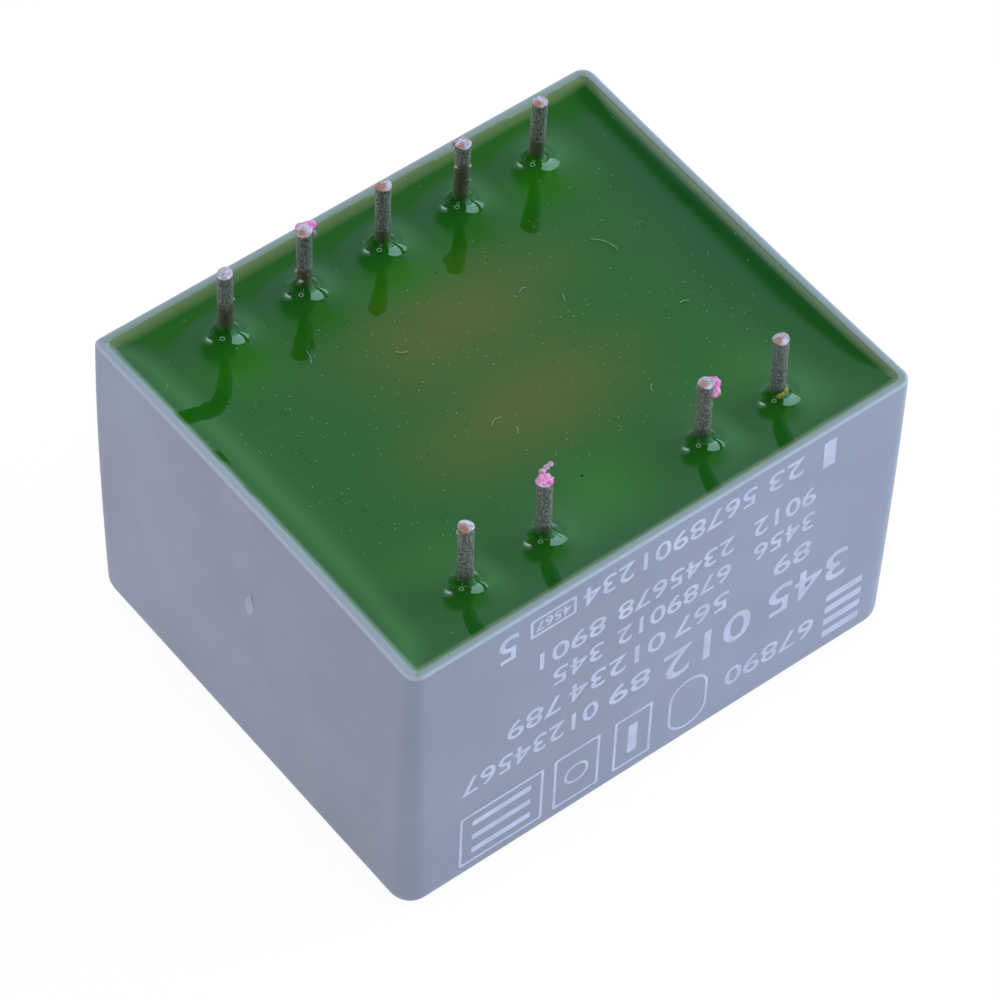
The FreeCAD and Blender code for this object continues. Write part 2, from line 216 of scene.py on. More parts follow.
@dataclass(frozen=True)
class Finish:
    """A procedural finish that reads the piece's own place, in millimetres."""

    name: str
    colour: Colour
    roughness: float = 0.5
    metallic: float = 0.0
    # The mottle's patches in a millimetre, and how far the colour goes to each side.
    mottle_scale: ClassVar[float] = 0.6
    mottle_spread: ClassVar[float] = 0.12

    def make(self) -> bpy.types.Material:
        """The material, made once.

        Returns:
            The material of this name.
        """
        found = bpy.data.materials.get(self.name)
        if found:
            return found
        material = bpy.data.materials.new(self.name)
        material.use_nodes = True
        material.diffuse_color = rgba(self.colour)
        desk = NodeDesk(material.node_tree)
        shader = material.node_tree.nodes["Principled BSDF"]
        shader.inputs["Metallic"].default_value = self.metallic
        shader.inputs["Roughness"].default_value = self.roughness
        coordinates = desk.add("ShaderNodeTexCoord")
        place = desk.vector("SCALE", coordinates.outputs["Object"], scale=1 / MM)
        self.paint(desk, shader, place)
        return material

    def paint(self, desk: NodeDesk, shader: bpy.types.Node, place: Socket) -> None:
        """Colours the shader with a faint mottle.

        Args:
            desk: The material's nodes.
            shader: The Principled shader.
            place: The point, in millimetres.
        """
        self.mottle(desk, shader, place)

    def mottle(self, desk: NodeDesk, shader: bpy.types.Node, place: Feed) -> Socket:
        """Gives the shader a colour that varies a little.

        Args:
            desk: The material's nodes.
            shader: The Principled shader.
            place: The point, in millimetres.

        Returns:
            The colour's socket.
        """
        dark = tuple(part * (1 - self.mottle_spread) for part in self.colour)
        light = tuple(min(1.0, part * (1 + self.mottle_spread)) for part in self.colour)
        share = desk.fade(desk.grain(place, self.mottle_scale, 4.0), 0.25, 0.75)
        mixed = desk.blend(share, rgba(dark), rgba(light))
        desk.feed(shader.inputs["Base Color"], mixed)
        return mixed

    def relief(self, desk: NodeDesk, shader: bpy.types.Node, height: Feed, depth_mm: float) -> None:
        """Bumps the surface.

        Args:
            desk: The material's nodes.
            shader: The Principled shader.
            height: The height field, from 0 to 1.
            depth_mm: What a height of 1 stands for.
        """
        feeds = {"Height": height, "Distance": depth_mm * MM, "Strength": 1.0}
        bump = desk.add("ShaderNodeBump", feeds)
        desk.feed(shader.inputs["Normal"], bump.outputs[0])


@dataclass(frozen=True)
class SatinPlastic(Finish):
    """Satin moulded plastic with a fine grain, faint clouds and painted shade; its rim has a painted
    highlight and resin film.
    """

    rim_colour: Colour = (0.29, 0.345, 0.42)
    # The painted highlight along the rim's outer rounding, which the mesh's edge value carries.
    highlight_colour: Colour = (0.44, 0.485, 0.58)
    film_colour: Colour = (0.165, 0.25, 0.165)
    grain_scale: float = 5.0
    grain_depth: float = 0.012
    broad_scale: float = 0.7
    broad_share: float = 1.5
    scuff_scale: float = 0.45
    scuff_spread: float = 0.2
    # Painted shade towards the nearest corner: where x + y starts and ends to darken, in millimetres, and
    # how much.
    shade_span: Point2 = (-4.0, -31.0)
    shade: float = 0.12
    mottle_scale: ClassVar[float] = 0.16
    mottle_spread: ClassVar[float] = 0.05

    def paint(self, desk: NodeDesk, shader: bpy.types.Node, place: Socket) -> None:
        """Clouds, painted shade, the rim's painted highlight and its resin film, and a fine moulded grain.
        """
        x, y, _ = desk.split(place)
        # Painted shade: the body goes darker towards the nearest corner.
        shade = desk.calc("MULTIPLY", desk.fade(desk.calc("ADD", x, y), *self.shade_span), self.shade)
        body = desk.blend(shade, self.mottle(desk, shader, place), rgba((0.0, 0.0, 0.0)))
        tints = {"rim": self.rim_colour, "edge": self.highlight_colour, "film": self.film_colour}
        for name, tint in tints.items():
            body = desk.blend(desk.attribute(name), body, rgba(tint))
        desk.feed(shader.inputs["Base Color"], body)
        fine = desk.grain(place, self.grain_scale, 3.0, 0.6)
        broad = desk.grain(place, self.broad_scale, 2.0)
        relief = desk.calc("MULTIPLY_ADD", broad, self.broad_share, fine)
        self.relief(desk, shader, relief, self.grain_depth)
        scuffs = desk.grain(place, self.scuff_scale, 4.0)
        smoothest = self.roughness - self.scuff_spread / 2
        roughness = desk.calc("MULTIPLY_ADD", scuffs, self.scuff_spread, smoothest)
        desk.feed(shader.inputs["Roughness"], roughness)


@dataclass(frozen=True)
class ResinPatch:
    """A soft patch of another colour in the resin."""

    colour: Colour
    centre: Point2
    radii: Point2
    strength: float


@dataclass(frozen=True)
class CastResin(Finish):
    """Glossy green resin whose colour shows what lies under it."""

    patches: tuple[ResinPatch, ...] = ()
    half_length: float = 15.7
    half_width: float = 13.1
    warp_scale: float = 0.22
    warp: float = 2.2
    speck_colour: Colour = (0.22, 0.38, 0.28)
    speck_scale: float = 1.9
    speck_size: float = 0.08
    speck_share: float = 0.6

    def paint(self, desk: NodeDesk, shader: bpy.types.Node, place: Socket) -> None:
        """Patches from the depth, thin films at the walls, and fine dust set in the surface."""
        feeds = {"Vector": place, "Scale": self.warp_scale, "Detail": 2.0}
        wobble = desk.add("ShaderNodeTexNoise", feeds)
        shift = desk.vector("SUBTRACT", wobble.outputs["Color"], (0.5, 0.5, 0.5))
        warped = desk.vector("ADD", place, desk.vector("SCALE", shift, scale=self.warp))
        colour = rgba(self.colour)
        for patch in self.patches:
            strength = desk.calc("MULTIPLY", desk.blob(warped, patch.centre, patch.radii), patch.strength)
            colour = desk.blend(strength, colour, rgba(patch.colour))
        colour = self.wall_films(desk, colour)
        colour = self.dust(desk, place, colour)
        desk.feed(shader.inputs["Base Color"], colour)

    def wall_films(self, desk: NodeDesk, colour: Feed) -> Socket:
        """Lets the wall show through the thin resin beside it.

        Args:
            desk: The material's nodes.
            colour: The colour so far.

        Returns:
            The colour with its films.
        """
        cast = desk.attribute("cast_place", "Vector")
        x, y, _ = desk.split(desk.vector("SCALE", cast, scale=1 / MM))
        for wall in Wall:
            along, half = (x, self.half_length) if wall.axis == "X" else (y, self.half_width)
            gap = desk.calc("MULTIPLY_ADD", along, -wall.side, half)
            thin = desk.calc("SUBTRACT", 1.0, desk.calc("DIVIDE", gap, wall.film_reach), clamp=True)
            colour = desk.blend(thin, colour, rgba(wall.film_colour))
        return colour

    def dust(self, desk: NodeDesk, place: Feed, colour: Feed) -> Socket:
        """Sets fine pale dust in the surface.

        Args:
            desk: The material's nodes.
            place: The point, in millimetres.
            colour: The colour so far.

        Returns:
            The colour with its dust.
        """
        feeds = {"Vector": place, "Scale": self.speck_scale, "Randomness": 1.0}
        cells = desk.add("ShaderNodeTexVoronoi", feeds)
        distance = cells.outputs["Distance"]
        pick = desk.split(cells.outputs["Color"])[0]
        size = desk.calc("MULTIPLY", desk.fade(pick, 0.4, 1.0), self.speck_size)
        grain = desk.calc("LESS_THAN", distance, size)
        return desk.blend(desk.calc("MULTIPLY", grain, self.speck_share), colour, rgba(self.speck_colour))


@dataclass(frozen=True)
class TarnishedMetal(Finish):
    """Old solder on a wire: grey and fibrous above, dark and brown near the resin."""

    dark: Colour = (0.05, 0.058, 0.046)
    fleck: Colour = (0.42, 0.45, 0.42)
    stain: Colour = (0.036, 0.038, 0.006)
    wet: Colour = (0.008, 0.075, 0.003)
    wet_top: float = 21.2
    wet_fade: float = 0.8
    fibre_squeeze: Point3 = (1.0, 1.0, 0.55)
    fibre_scale: float = 10.0
    fibre_depth: float = 0.07
    fleck_scale: float = 11.0
    fleck_share: float = 0.85
    stain_ragged: float = 2.6
    stain_share: float = 0.88
    specular: float = 0.3
    sheen: float = 0.35
    sheen_roughness: float = 0.25

    def paint(self, desk: NodeDesk, shader: bpy.types.Node, place: Socket) -> None:
        """Fibrous grey, pale flecks, and a stain that ends at the height the pin carries."""
        height = desk.split(place)[2]
        fibre_place = desk.vector("MULTIPLY", place, self.fibre_squeeze)
        fibres = desk.grain(fibre_place, self.fibre_scale, 5.0, 0.75)
        body = desk.blend(desk.fade(fibres, 0.41, 0.6), rgba(self.dark), rgba(self.colour))
        flecks = desk.fade(desk.grain(fibre_place, self.fleck_scale, 3.0, 0.7), 0.58, 0.7)
        body = desk.blend(desk.calc("MULTIPLY", flecks, self.fleck_share), body, rgba(self.fleck))
        top = desk.attribute("stain_top")
        edge = desk.grain(place, 2.6, 4.0, 0.65)
        ragged = desk.calc("MULTIPLY_ADD", edge, self.stain_ragged, -self.stain_ragged / 2)
        over = desk.calc("SUBTRACT", desk.calc("ADD", height, ragged), desk.calc("DIVIDE", top, MM))
        stained = desk.calc("MULTIPLY", desk.fade(over, 0.3, -0.3), self.stain_share)
        body = desk.blend(stained, body, rgba(self.stain))
        wet = desk.fade(height, self.wet_top, self.wet_top - self.wet_fade)
        desk.feed(shader.inputs["Base Color"], desk.blend(wet, body, rgba(self.wet)))
        bare = desk.calc("SUBTRACT", 1.0, desk.calc("MAXIMUM", stained, wet))
        desk.feed(shader.inputs["Metallic"], desk.calc("MULTIPLY", bare, self.metallic))
        shader.inputs["Specular IOR Level"].default_value = self.specular
        shader.inputs["Sheen Weight"].default_value = self.sheen
        shader.inputs["Sheen Roughness"].default_value = self.sheen_roughness
        self.relief(desk, shader, fibres, self.fibre_depth)


@dataclass(frozen=True)
class CutMetal(Finish):
    """The clipped end of a pin: bright old solder round a core of copper."""

    copper: Colour = (0.34, 0.17, 0.12)
    shadow: Colour = (0.36, 0.31, 0.39)
    # Where the copper shows on the end, as the stock's own place, and how ragged its edge is.
    copper_side: Point3 = (-0.5, -0.12, 1.0)
    copper_ragged: float = 1.5
    shear_depth: float = 0.05

    def paint(self, desk: NodeDesk, shader: bpy.types.Node, place: Socket) -> None:
        """Pale metal with a copper patch on one side, and fine shear lines."""
        local = desk.attribute("local", "Vector")
        wide = desk.attribute("copper")
        edge = desk.grain(place, 3.4, 4.0, 0.7)
        ragged = desk.calc("MULTIPLY_ADD", edge, self.copper_ragged, -self.copper_ragged / 2)
        reach = desk.vector("DISTANCE", local, self.copper_side)
        bare = desk.fade(desk.calc("SUBTRACT", desk.calc("ADD", reach, ragged), wide), 0.25, -0.2)
        worn = desk.fade(desk.grain(place, 4.5, 4.0, 0.7), 0.42, 0.62)
        base = desk.blend(worn, rgba(self.shadow), rgba(self.colour))
        desk.feed(shader.inputs["Base Color"], desk.blend(bare, base, rgba(self.copper)))
        self.relief(desk, shader, desk.grain(place, 6.0, 4.0, 0.7), self.shear_depth)


@dataclass(frozen=True)
class Crumbly(Finish):
    """A matt deposit, such as dried flux or paint."""

    dark: Colour = (0.3, 0.1, 0.2)
    tone_scale: float = 3.5
    crumb_scale: float = 7.0
    crumb_depth: float = 0.06

    def paint(self, desk: NodeDesk, shader: bpy.types.Node, place: Socket) -> None:
        """Two tones with a rough relief."""
        share = desk.fade(desk.grain(place, self.tone_scale, 4.0, 0.6), 0.35, 0.6)
        desk.feed(shader.inputs["Base Color"], desk.blend(share, rgba(self.dark), rgba(self.colour)))
        self.relief(desk, shader, desk.grain(place, self.crumb_scale, 4.0, 0.7), self.crumb_depth)


class Run(Enum):
    """The way that stripes run across an inner piece."""

    ALONG_X = (1.0, 0.0, 0.0)
    ALONG_Y = (0.0, 1.0, 0.0)
    ALONG_Z = (0.0, 0.0, 1.0)


@dataclass(frozen=True)
class Striped(Finish):
    """A finish with fine even lines, such as turns of wire, sheet edges or brushed steel."""

    run: Run = Run.ALONG_Y
    pitch: float = 0.12
    depth: float = 0.04
    shade: float = 0.25
    mottle_scale: ClassVar[float] = 0.8

    def paint(self, desk: NodeDesk, shader: bpy.types.Node, place: Socket) -> None:
        """Lines across the run, with a slow mottle over them."""
        along = desk.vector("DOT_PRODUCT", place, self.run.value)
        phase = desk.calc("MULTIPLY", along, 2 * math.pi / self.pitch)
        wave = desk.calc("MULTIPLY_ADD", desk.calc("SINE", phase), 0.5, 0.5)
        body = self.mottle(desk, shader, place)
        dark = tuple(part * (1 - self.shade) for part in self.colour)
        groove = desk.fade(wave, 0.35, 0.0)
        desk.feed(shader.inputs["Base Color"], desk.blend(groove, body, rgba(dark)))
        self.relief(desk, shader, wave, self.depth)


CASE_FINISH = SatinPlastic("satin_case", (0.282, 0.318, 0.425), roughness=0.5)
INK_FINISH = Finish("print_ink", (0.52, 0.56, 0.73), roughness=0.55)
PIN_FINISH = TarnishedMetal("tarnished_pin", (0.23, 0.255, 0.23), roughness=0.5, metallic=0.3)
CUT_FINISH = CutMetal("cut_pin_end", (0.6, 0.55, 0.66), roughness=0.45, metallic=0.1)
PINK_FINISH = Crumbly("pink_residue", (0.84, 0.4, 0.7), roughness=0.8, dark=(0.68, 0.17, 0.5))
FADED_FINISH = Crumbly("faded_residue", (0.6, 0.44, 0.56), roughness=0.8, dark=(0.3, 0.2, 0.28))
CRUST_FINISH = Crumbly("pale_crust", (0.42, 0.46, 0.3), roughness=0.8, dark=(0.16, 0.2, 0.1))
FLUX_FINISH = Crumbly("dry_flux", (0.32, 0.32, 0.03), roughness=0.4, dark=(0.12, 0.16, 0.02))
DUST_FINISH = Finish("dust", (0.32, 0.48, 0.37), roughness=0.7)
DARK_DUST_FINISH = Finish("dark_grit", (0.006, 0.012, 0.006), roughness=0.7)

OLIVE = (0.075, 0.105, 0.006)
BRIGHT_GREEN = (0.012, 0.14, 0.001)
DEEP_GREEN = (0.005, 0.075, 0.014)
RESIN_PATCHES = (
    ResinPatch(DEEP_GREEN, (17.0, 1.0), (8.5, 22.0), 0.95),
    ResinPatch(DEEP_GREEN, (-2.0, 15.0), (26.0, 7.5), 0.75),
    ResinPatch(DEEP_GREEN, (-2.0, -15.5), (26.0, 7.0), 0.75),
    ResinPatch(OLIVE, (0.2, 4.1), (10.5, 5.2), 0.85),
    ResinPatch(OLIVE, (-0.4, -2.4), (10.5, 5.6), 0.85),
    ResinPatch(BRIGHT_GREEN, (-0.1, -8.6), (4.2, 3.8), 0.9),
    ResinPatch(BRIGHT_GREEN, (-10.0, 7.6), (3.4, 3.0), 0.6),
    ResinPatch(BRIGHT_GREEN, (0.1, 7.8), (3.8, 2.6), 0.5),
    ResinPatch(BRIGHT_GREEN, (9.7, 8.8), (3.6, 3.0), 0.6),
    ResinPatch(BRIGHT_GREEN, (-10.3, -7.6), (3.6, 3.0), 0.6),
    ResinPatch(BRIGHT_GREEN, (9.6, -7.3), (3.4, 3.0), 0.4),
)
RESIN_FINISH = CastResin("cast_green", (0.007, 0.094, 0.002), roughness=0.035, patches=RESIN_PATCHES)

INNER_FINISHES = {
    "coil_former": Finish("pale_nylon", (0.72, 0.73, 0.66), roughness=0.5),
    "e_laminations": Striped("sheet_steel_e", (0.34, 0.34, 0.36), 0.4, 0.9, Run.ALONG_Z, 0.5, 0.03, 0.5),
    "i_laminations": Striped("sheet_steel_i", (0.32, 0.32, 0.34), 0.4, 0.9, Run.ALONG_Z, 0.5, 0.03, 0.5),
    "solder_joints": Finish("bright_solder", (0.62, 0.62, 0.63), roughness=0.28, metallic=0.9),
    "primary_winding": Striped("fine_copper", (0.62, 0.24, 0.09), 0.3, 0.8, Run.ALONG_Y, 0.09, 0.03, 0.4),
    "secondary_winding_1": Striped("copper_1", (0.66, 0.27, 0.1), 0.3, 0.8, Run.ALONG_Y, 0.22, 0.08, 0.4),
    "secondary_winding_2": Striped("copper_2", (0.66, 0.27, 0.1), 0.3, 0.8, Run.ALONG_Y, 0.22, 0.08, 0.4),
    "secondary_barrier": Finish("barrier_tape", (0.7, 0.52, 0.1), roughness=0.35),
    "primary_tape": Striped("tape_primary", (0.72, 0.55, 0.12), 0.3, 0.0, Run.ALONG_X, 2.4, 0.01, 0.08),
    "secondary_tape": Striped("tape_secondary", (0.72, 0.55, 0.12), 0.3, 0.0, Run.ALONG_X, 2.4, 0.01, 0.08),
}
SLEEVE_FINISH = Striped("woven_sleeve", (0.62, 0.58, 0.46), 0.7, 0.0, Run.ALONG_Y, 0.1, 0.02, 0.2)


def tree_input(tree: bpy.types.NodeTree, name: str, kind: str) -> str:
    """Adds a named input to a geometry tree.

    Args:
        tree: The tree.
        name: The input's name.
        kind: Float, Vector, Int or Geometry.

    Returns:
        The socket's identifier.
    """
    return tree.interface.new_socket(name, in_out="INPUT", socket_type=f"NodeSocket{kind}").identifier


class Pattern:
    """A geometry tree that makes what repeats or follows a rule."""

    def __init__(self, name: str, inputs: dict[str, str]) -> None:
        """Makes the empty tree with its named inputs.

        Args:
            name: The tree's name.
            inputs: Each input's name and kind.
        """
        self.tree = bpy.data.node_groups.new(name, "GeometryNodeTree")
        tree_input(self.tree, "Geometry", "Geometry")
        self.sockets = {key: tree_input(self.tree, key, kind) for key, kind in inputs.items()}
        self.tree.interface.new_socket("Geometry", in_out="OUTPUT", socket_type="NodeSocketGeometry")
        self.desk = NodeDesk(self.tree)
        self.entry = self.desk.add("NodeGroupInput")
        self.draw()

    def draw(self) -> None:
        """Fills the tree; each pattern has its own."""
        raise NotImplementedError

    def value(self, name: str) -> Socket:
        """The output of a named input."""
        return self.entry.outputs[name]

    def store(self, geometry_in: Feed, name: str, value: Feed, kind: str = "FLOAT") -> Socket:
        """Keeps a value on the mesh, for the finish to read.

        Args:
            geometry_in: The mesh so far.
            name: The value's name.
            value: The value.
            kind: FLOAT or FLOAT_VECTOR.

        Returns:
            The mesh that carries it.
        """
        feeds = {"Geometry": geometry_in, "Name": name, "Value": value}
        return self.desk.add("GeometryNodeStoreNamedAttribute", feeds, data_type=kind).outputs[0]

    def chance(self, low: Sequence[float], high: Sequence[float]) -> Socket:
        """A random vector between two others at each point, from the input Seed."""
        feeds = {0: low, 1: high, "Seed": self.value("Seed")}
        return self.desk.add("FunctionNodeRandomValue", feeds, data_type="FLOAT_VECTOR").outputs[0]

    def close(
        self, geometry_out: Feed, finish: Finish, cap: Finish | None = None, cap_pick: Feed = None
    ) -> None:
        """Ends the tree in Realize Instances and Set Material.

        Args:
            geometry_out: What the tree made.
            finish: The finish of all of it.
            cap: A second finish for a part of it.
            cap_pick: The faces that take the second finish.
        """
        real = self.desk.add("GeometryNodeRealizeInstances", {0: geometry_out}).outputs[0]
        feeds = {"Geometry": real, "Material": finish.make()}
        done = self.desk.add("GeometryNodeSetMaterial", feeds).outputs[0]
        if cap is not None:
            feeds = {"Geometry": done, "Selection": cap_pick, "Material": cap.make()}
            done = self.desk.add("GeometryNodeSetMaterial", feeds).outputs[0]
        self.desk.add("NodeGroupOutput", {0: done})

    def build(self, name: str, blank: bpy.types.Mesh, values: dict[str, object]) -> Piece:
        """Runs the tree on a mesh and keeps the plain result.

        Args:
            name: The new piece's name.
            blank: The mesh that the tree starts from.
            values: What the named inputs are set to.

        Returns:
            An object with a plain mesh and no modifier.
        """
        worker = bpy.data.objects.new(name + "_blank", blank)
        modifier = worker.modifiers.new(self.tree.name, "NODES")
        modifier.node_group = self.tree
        for key, value in values.items():
            modifier[self.sockets[key]] = value
        mesh = plain_mesh(worker)
        mesh.name = name
        return new_piece(name, mesh)


def plain_mesh(worker: Piece) -> bpy.types.Mesh:
    """The mesh that an object with modifiers, a curve or a text comes to; the object itself goes.

    Args:
        worker: The object, not yet in the scene.

    Returns:
        A mesh without modifiers.
    """
    bpy.context.scene.collection.objects.link(worker)
    graph = bpy.context.evaluated_depsgraph_get()
    mesh = bpy.data.meshes.new_from_object(worker.evaluated_get(graph))
    bpy.data.objects.remove(worker)
    return mesh


def settle(piece: Piece, node: str | None = None) -> None:
    """Says what a piece is to the frame.

    Args:
        piece: The piece, which rides on the one body.
        node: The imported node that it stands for, if any.
    """
    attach(piece, "root")
    if node is not None:
        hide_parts(node)


def new_piece(name: str, mesh: bpy.types.Mesh) -> Piece:
    """Puts a mesh into the scene, at the origin.

    Args:
        name: The piece's name.
        mesh: Its mesh, in place.

    Returns:
        The new object.
    """
    piece = bpy.data.objects.new(name, mesh)
    bpy.context.scene.collection.objects.link(piece)
    return piece


def point_mesh(name: str, points: Iterable[Sequence[float]] = ((0.0, 0.0, 0.0),)) -> bpy.types.Mesh:
    """A mesh of loose points.

    Args:
        name: The mesh's name.
        points: The points; one at the origin if none are given.

    Returns:
        The mesh.
    """
    mesh = bpy.data.meshes.new(name)
    mesh.from_pydata([tuple(point) for point in points], [], [])
    return mesh


def mesh_from(bm: bmesh.types.BMesh, name: str) -> bpy.types.Mesh:
    """Turns a bmesh into a mesh and frees it.

    Args:
        bm: The bmesh.
        name: The mesh's name.

    Returns:
        The mesh.
    """
    mesh = bpy.data.meshes.new(name)
    bm.to_mesh(mesh)
    bm.free()
    return mesh


def rounded_ring(
    half_x: float, half_y: float, radii: Sequence[float], side: int, corner: int
) -> list[Vector]:
    """Points round a rectangle with rounded corners, anticlockwise seen from above.

    Args:
        half_x: Half the size along X.
        half_y: Half the size along Y.
        radii: The radius of the far right, far left, near left and near right corner.
        side: The number of steps along each straight side.
        corner: The number of steps round each corner.

    Returns:
        The ring's points at height 0.
    """
    arcs = []
    for radius, (sign_x, sign_y, start) in zip(radii, CORNERS):
        radius = max(radius, 1e-6)
        centre = Vector((sign_x * (half_x - radius), sign_y * (half_y - radius), 0))
        turns = [math.radians(start + 90 * step / corner) for step in range(corner + 1)]
        arcs.append([centre + Vector((math.cos(turn), math.sin(turn), 0)) * radius for turn in turns])
    points = []
    for arc, after in zip(arcs, arcs[1:] + arcs[:1]):
        points += arc
        points += [arc[-1].lerp(after[0], step / side) for step in range(1, side)]
    return points


@dataclass
class MouldedCase:
    """The drafted box with its closed base and its fine open rim."""

    draft: float = math.radians(0.2)
    cavity_draft: float = math.radians(1.0)
    rim_wall: float = 0.5 * MM
    floor: float = 1.1 * MM
    corner_radius: float = 1.4 * MM
    rim_corner_radii: tuple[float, ...] = (0.8 * MM, 0.45 * MM, 0.8 * MM, 0.8 * MM)
    base_radius: float = 1.3 * MM
    cavity_corner_radius: float = 0.45 * MM
    cavity_floor_radius: float = 0.3 * MM
    rim_outer_radius: float = 0.17 * MM
    rim_inner_radius: float = 0.08 * MM
    side_steps: int = 72
    corner_steps: int = 10
    wall_steps: int = 22
    base_steps: int = 8
    rim_steps: int = 6
    inner_steps: int = 4
    cavity_steps: int = 6
    first_wall_gap: float = 0.12 * MM
    lean_left: float = 0.37 * MM
    lean_near: float = 0.25 * MM
    lean_far: float = 0.06 * MM
    bow_left: float = 0.14 * MM
    bow_right: float = 0.12 * MM
    lean_inner: float = 1.0 * MM
    lean_outer: float = 4.0 * MM
    films: tuple[float, ...] = (0.8, 1.0, 0.2, 0.8)
    film_start: float = 0.1
    # How strong the painted highlight on the rim's outer rounding is, on the left wall and on the others.
    highlight_left: float = 1.0
    highlight_elsewhere: float = 0.55
    left_from: float = 0.95
    nick_depth: float = 0.02 * MM
    nick_band: float = 0.1 * MM
    nick_size: float = 0.9 * MM
    nick_start: float = 0.25
    fine_nick: float = 0.3
    fine_nick_scale: float = 4.7
    high: Vector = field(default_factory=lambda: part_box("case")[1])

    def build(self) -> Piece:
        """Makes the shell and puts it in the place of the plain one.

        Returns:
            The case.
        """
        bm = bmesh.new()
        # The edge layer carries the painted highlight on the rim's outer rounding.
        layers = [bm.verts.layers.float.new(name) for name in ("rim", "edge", "film")]
        rings = [[bm.verts.new(point) for point in ring] for ring in self.rings()]
        for ring, edge in zip(reversed(rings), self.highlight_shares()):
            for vert in ring:
                # The share of painted highlight, stronger along the left wall.
                on_left = vert.co.x < -self.high.x * self.left_from
                worn = edge * (self.highlight_left if on_left else self.highlight_elsewhere)
                for layer, share in zip(layers, (1.0, worn, self.film_at(vert.co))):
                    vert[layer] = share
        for lower, upper in zip(rings, rings[1:]):
            for index in range(len(lower)):
                after = (index + 1) % len(lower)
                bm.faces.new((lower[index], lower[after], upper[after], upper[index]))
        bm.faces.new(list(reversed(rings[0])))
        bm.faces.new(rings[-1])
        for face in bm.faces:
            face.smooth = len(face.verts) == 4
        mesh = mesh_from(bm, "moulded_case")
        mesh.materials.append(CASE_FINISH.make())
        piece = new_piece("moulded_case", mesh)
        self.dress(piece)
        return piece

    def dress(self, piece: Piece) -> None:
        """Says what the piece rides on and stands for."""
        settle(piece, "case")

    def rings(self) -> list[list[Vector]]:
        """Every ring of the shell, from the middle of the base up, over the rim and down to the floor.

        Returns:
            The rings' points, in place.
        """
        rim = self.high.z
        outer = [(self.base_inset(turn), self.base_height(turn)) for turn in self.turns(self.base_steps)]
        first_wall = self.base_radius + self.first_wall_gap
        top_wall = rim - self.rim_outer_radius
        outer += [
            (0.0, first_wall + (top_wall - first_wall) * step / self.wall_steps)
            for step in range(self.wall_steps + 1)
        ]
        outer += [
            (self.rim_outer_radius * (1 - math.cos(turn)), top_wall + self.rim_outer_radius * math.sin(turn))
            for turn in self.turns(self.rim_steps)[1:]
        ]
        made = [self.outer_ring(inset, z) for inset, z in outer]
        inner_top = rim - self.rim_inner_radius
        for turn in reversed(self.turns(self.inner_steps)):
            swell = self.rim_inner_radius * (1 - math.cos(turn))
            z = inner_top + self.rim_inner_radius * math.sin(turn)
            made.append(self.inner_ring(-swell, z))
        low = self.floor + self.cavity_floor_radius
        for step in range(1, self.cavity_steps + 1):
            made.append(self.inner_ring(0.0, inner_top + (low - inner_top) * step / self.cavity_steps))
        for turn in self.turns(self.inner_steps)[1:]:
            inset = self.cavity_floor_radius * (1 - math.cos(turn))
            made.append(self.inner_ring(inset, low - self.cavity_floor_radius * math.sin(turn)))
        return made

    def highlight_shares(self) -> list[float]:
        """How strong the painted highlight is on each ring, from the cavity's floor up and over the rim to
        the outer wall.

        Returns:
            0 for the cavity, its floor's and its rim's rounding and the crest, then the painted highlight
            over the outer rounding.
        """
        crest = self.inner_steps + self.cavity_steps + (self.inner_steps + 1)
        outside = [math.sin(math.pi * step / self.rim_steps) for step in range(1, self.rim_steps)]
        return [0.0] * (crest + 1) + outside

    def film_at(self, point: Vector) -> float:
        """How far resin covers the rim at a point.

        Args:
            point: The point, in place.

        Returns:
            The film's share, which grows towards the cavity.
        """
        shift = self.lean_in(point)
        gaps = (self.high.x - point.x + shift.x, self.high.y - point.y + shift.y,
                self.high.x + point.x - shift.x, self.high.y + point.y - shift.y)
        gap, film = min(zip(gaps, self.films))
        return film * min(1.0, max(0.0, gap / self.rim_wall - self.film_start))

    def turns(self, steps: int) -> list[float]:
        """Angles from 0 to a quarter turn."""
        return [math.pi / 2 * step / steps for step in range(steps + 1)]

    def base_inset(self, turn: float) -> float:
        """How far the base's rounding stands in from the wall."""
        return self.base_radius * (1 - math.sin(turn))

    def base_height(self, turn: float) -> float:
        """How high the base's rounding is."""
        return self.base_radius * (1 - math.cos(turn))

    def outer_ring(self, inset: float, z: float) -> list[Vector]:
        """A ring on the outside.

        Args:
            inset: How far it stands in from the wall at its height.
            z: Its height.

        Returns:
            The ring's points.
        """
        drafted = (self.high.z - z) * math.tan(self.draft) + inset
        share = z / self.high.z
        radii = [
            self.corner_radius * (1 - share) + radius * share - inset for radius in self.rim_corner_radii
        ]
        return self.placed(self.high.x - drafted, self.high.y - drafted, radii, z)

    def inner_ring(self, inset: float, z: float) -> list[Vector]:
        """A ring on the cavity's wall.

        Args:
            inset: How far it stands in from the wall at its height.
            z: Its height.

        Returns:
            The ring's points.
        """
        drafted = self.rim_wall + (self.high.z - z) * math.tan(self.cavity_draft) + inset
        radii = [self.cavity_corner_radius - inset] * 4
        return self.placed(self.high.x - drafted, self.high.y - drafted, radii, z)

    def placed(self, half_x: float, half_y: float, radii: list[float], z: float) -> list[Vector]:
        """A ring at its height, bowed and nicked as the moulding is.

        Args:
            half_x: Half the ring's size along X.
            half_y: Half the ring's size along Y.
            radii: Its corners' radii.
            z: Its height.

        Returns:
            The ring's points.
        """
        ring = rounded_ring(half_x, half_y, radii, self.side_steps, self.corner_steps)
        return [self.bowed(Vector((point.x, point.y, z))) for point in ring]

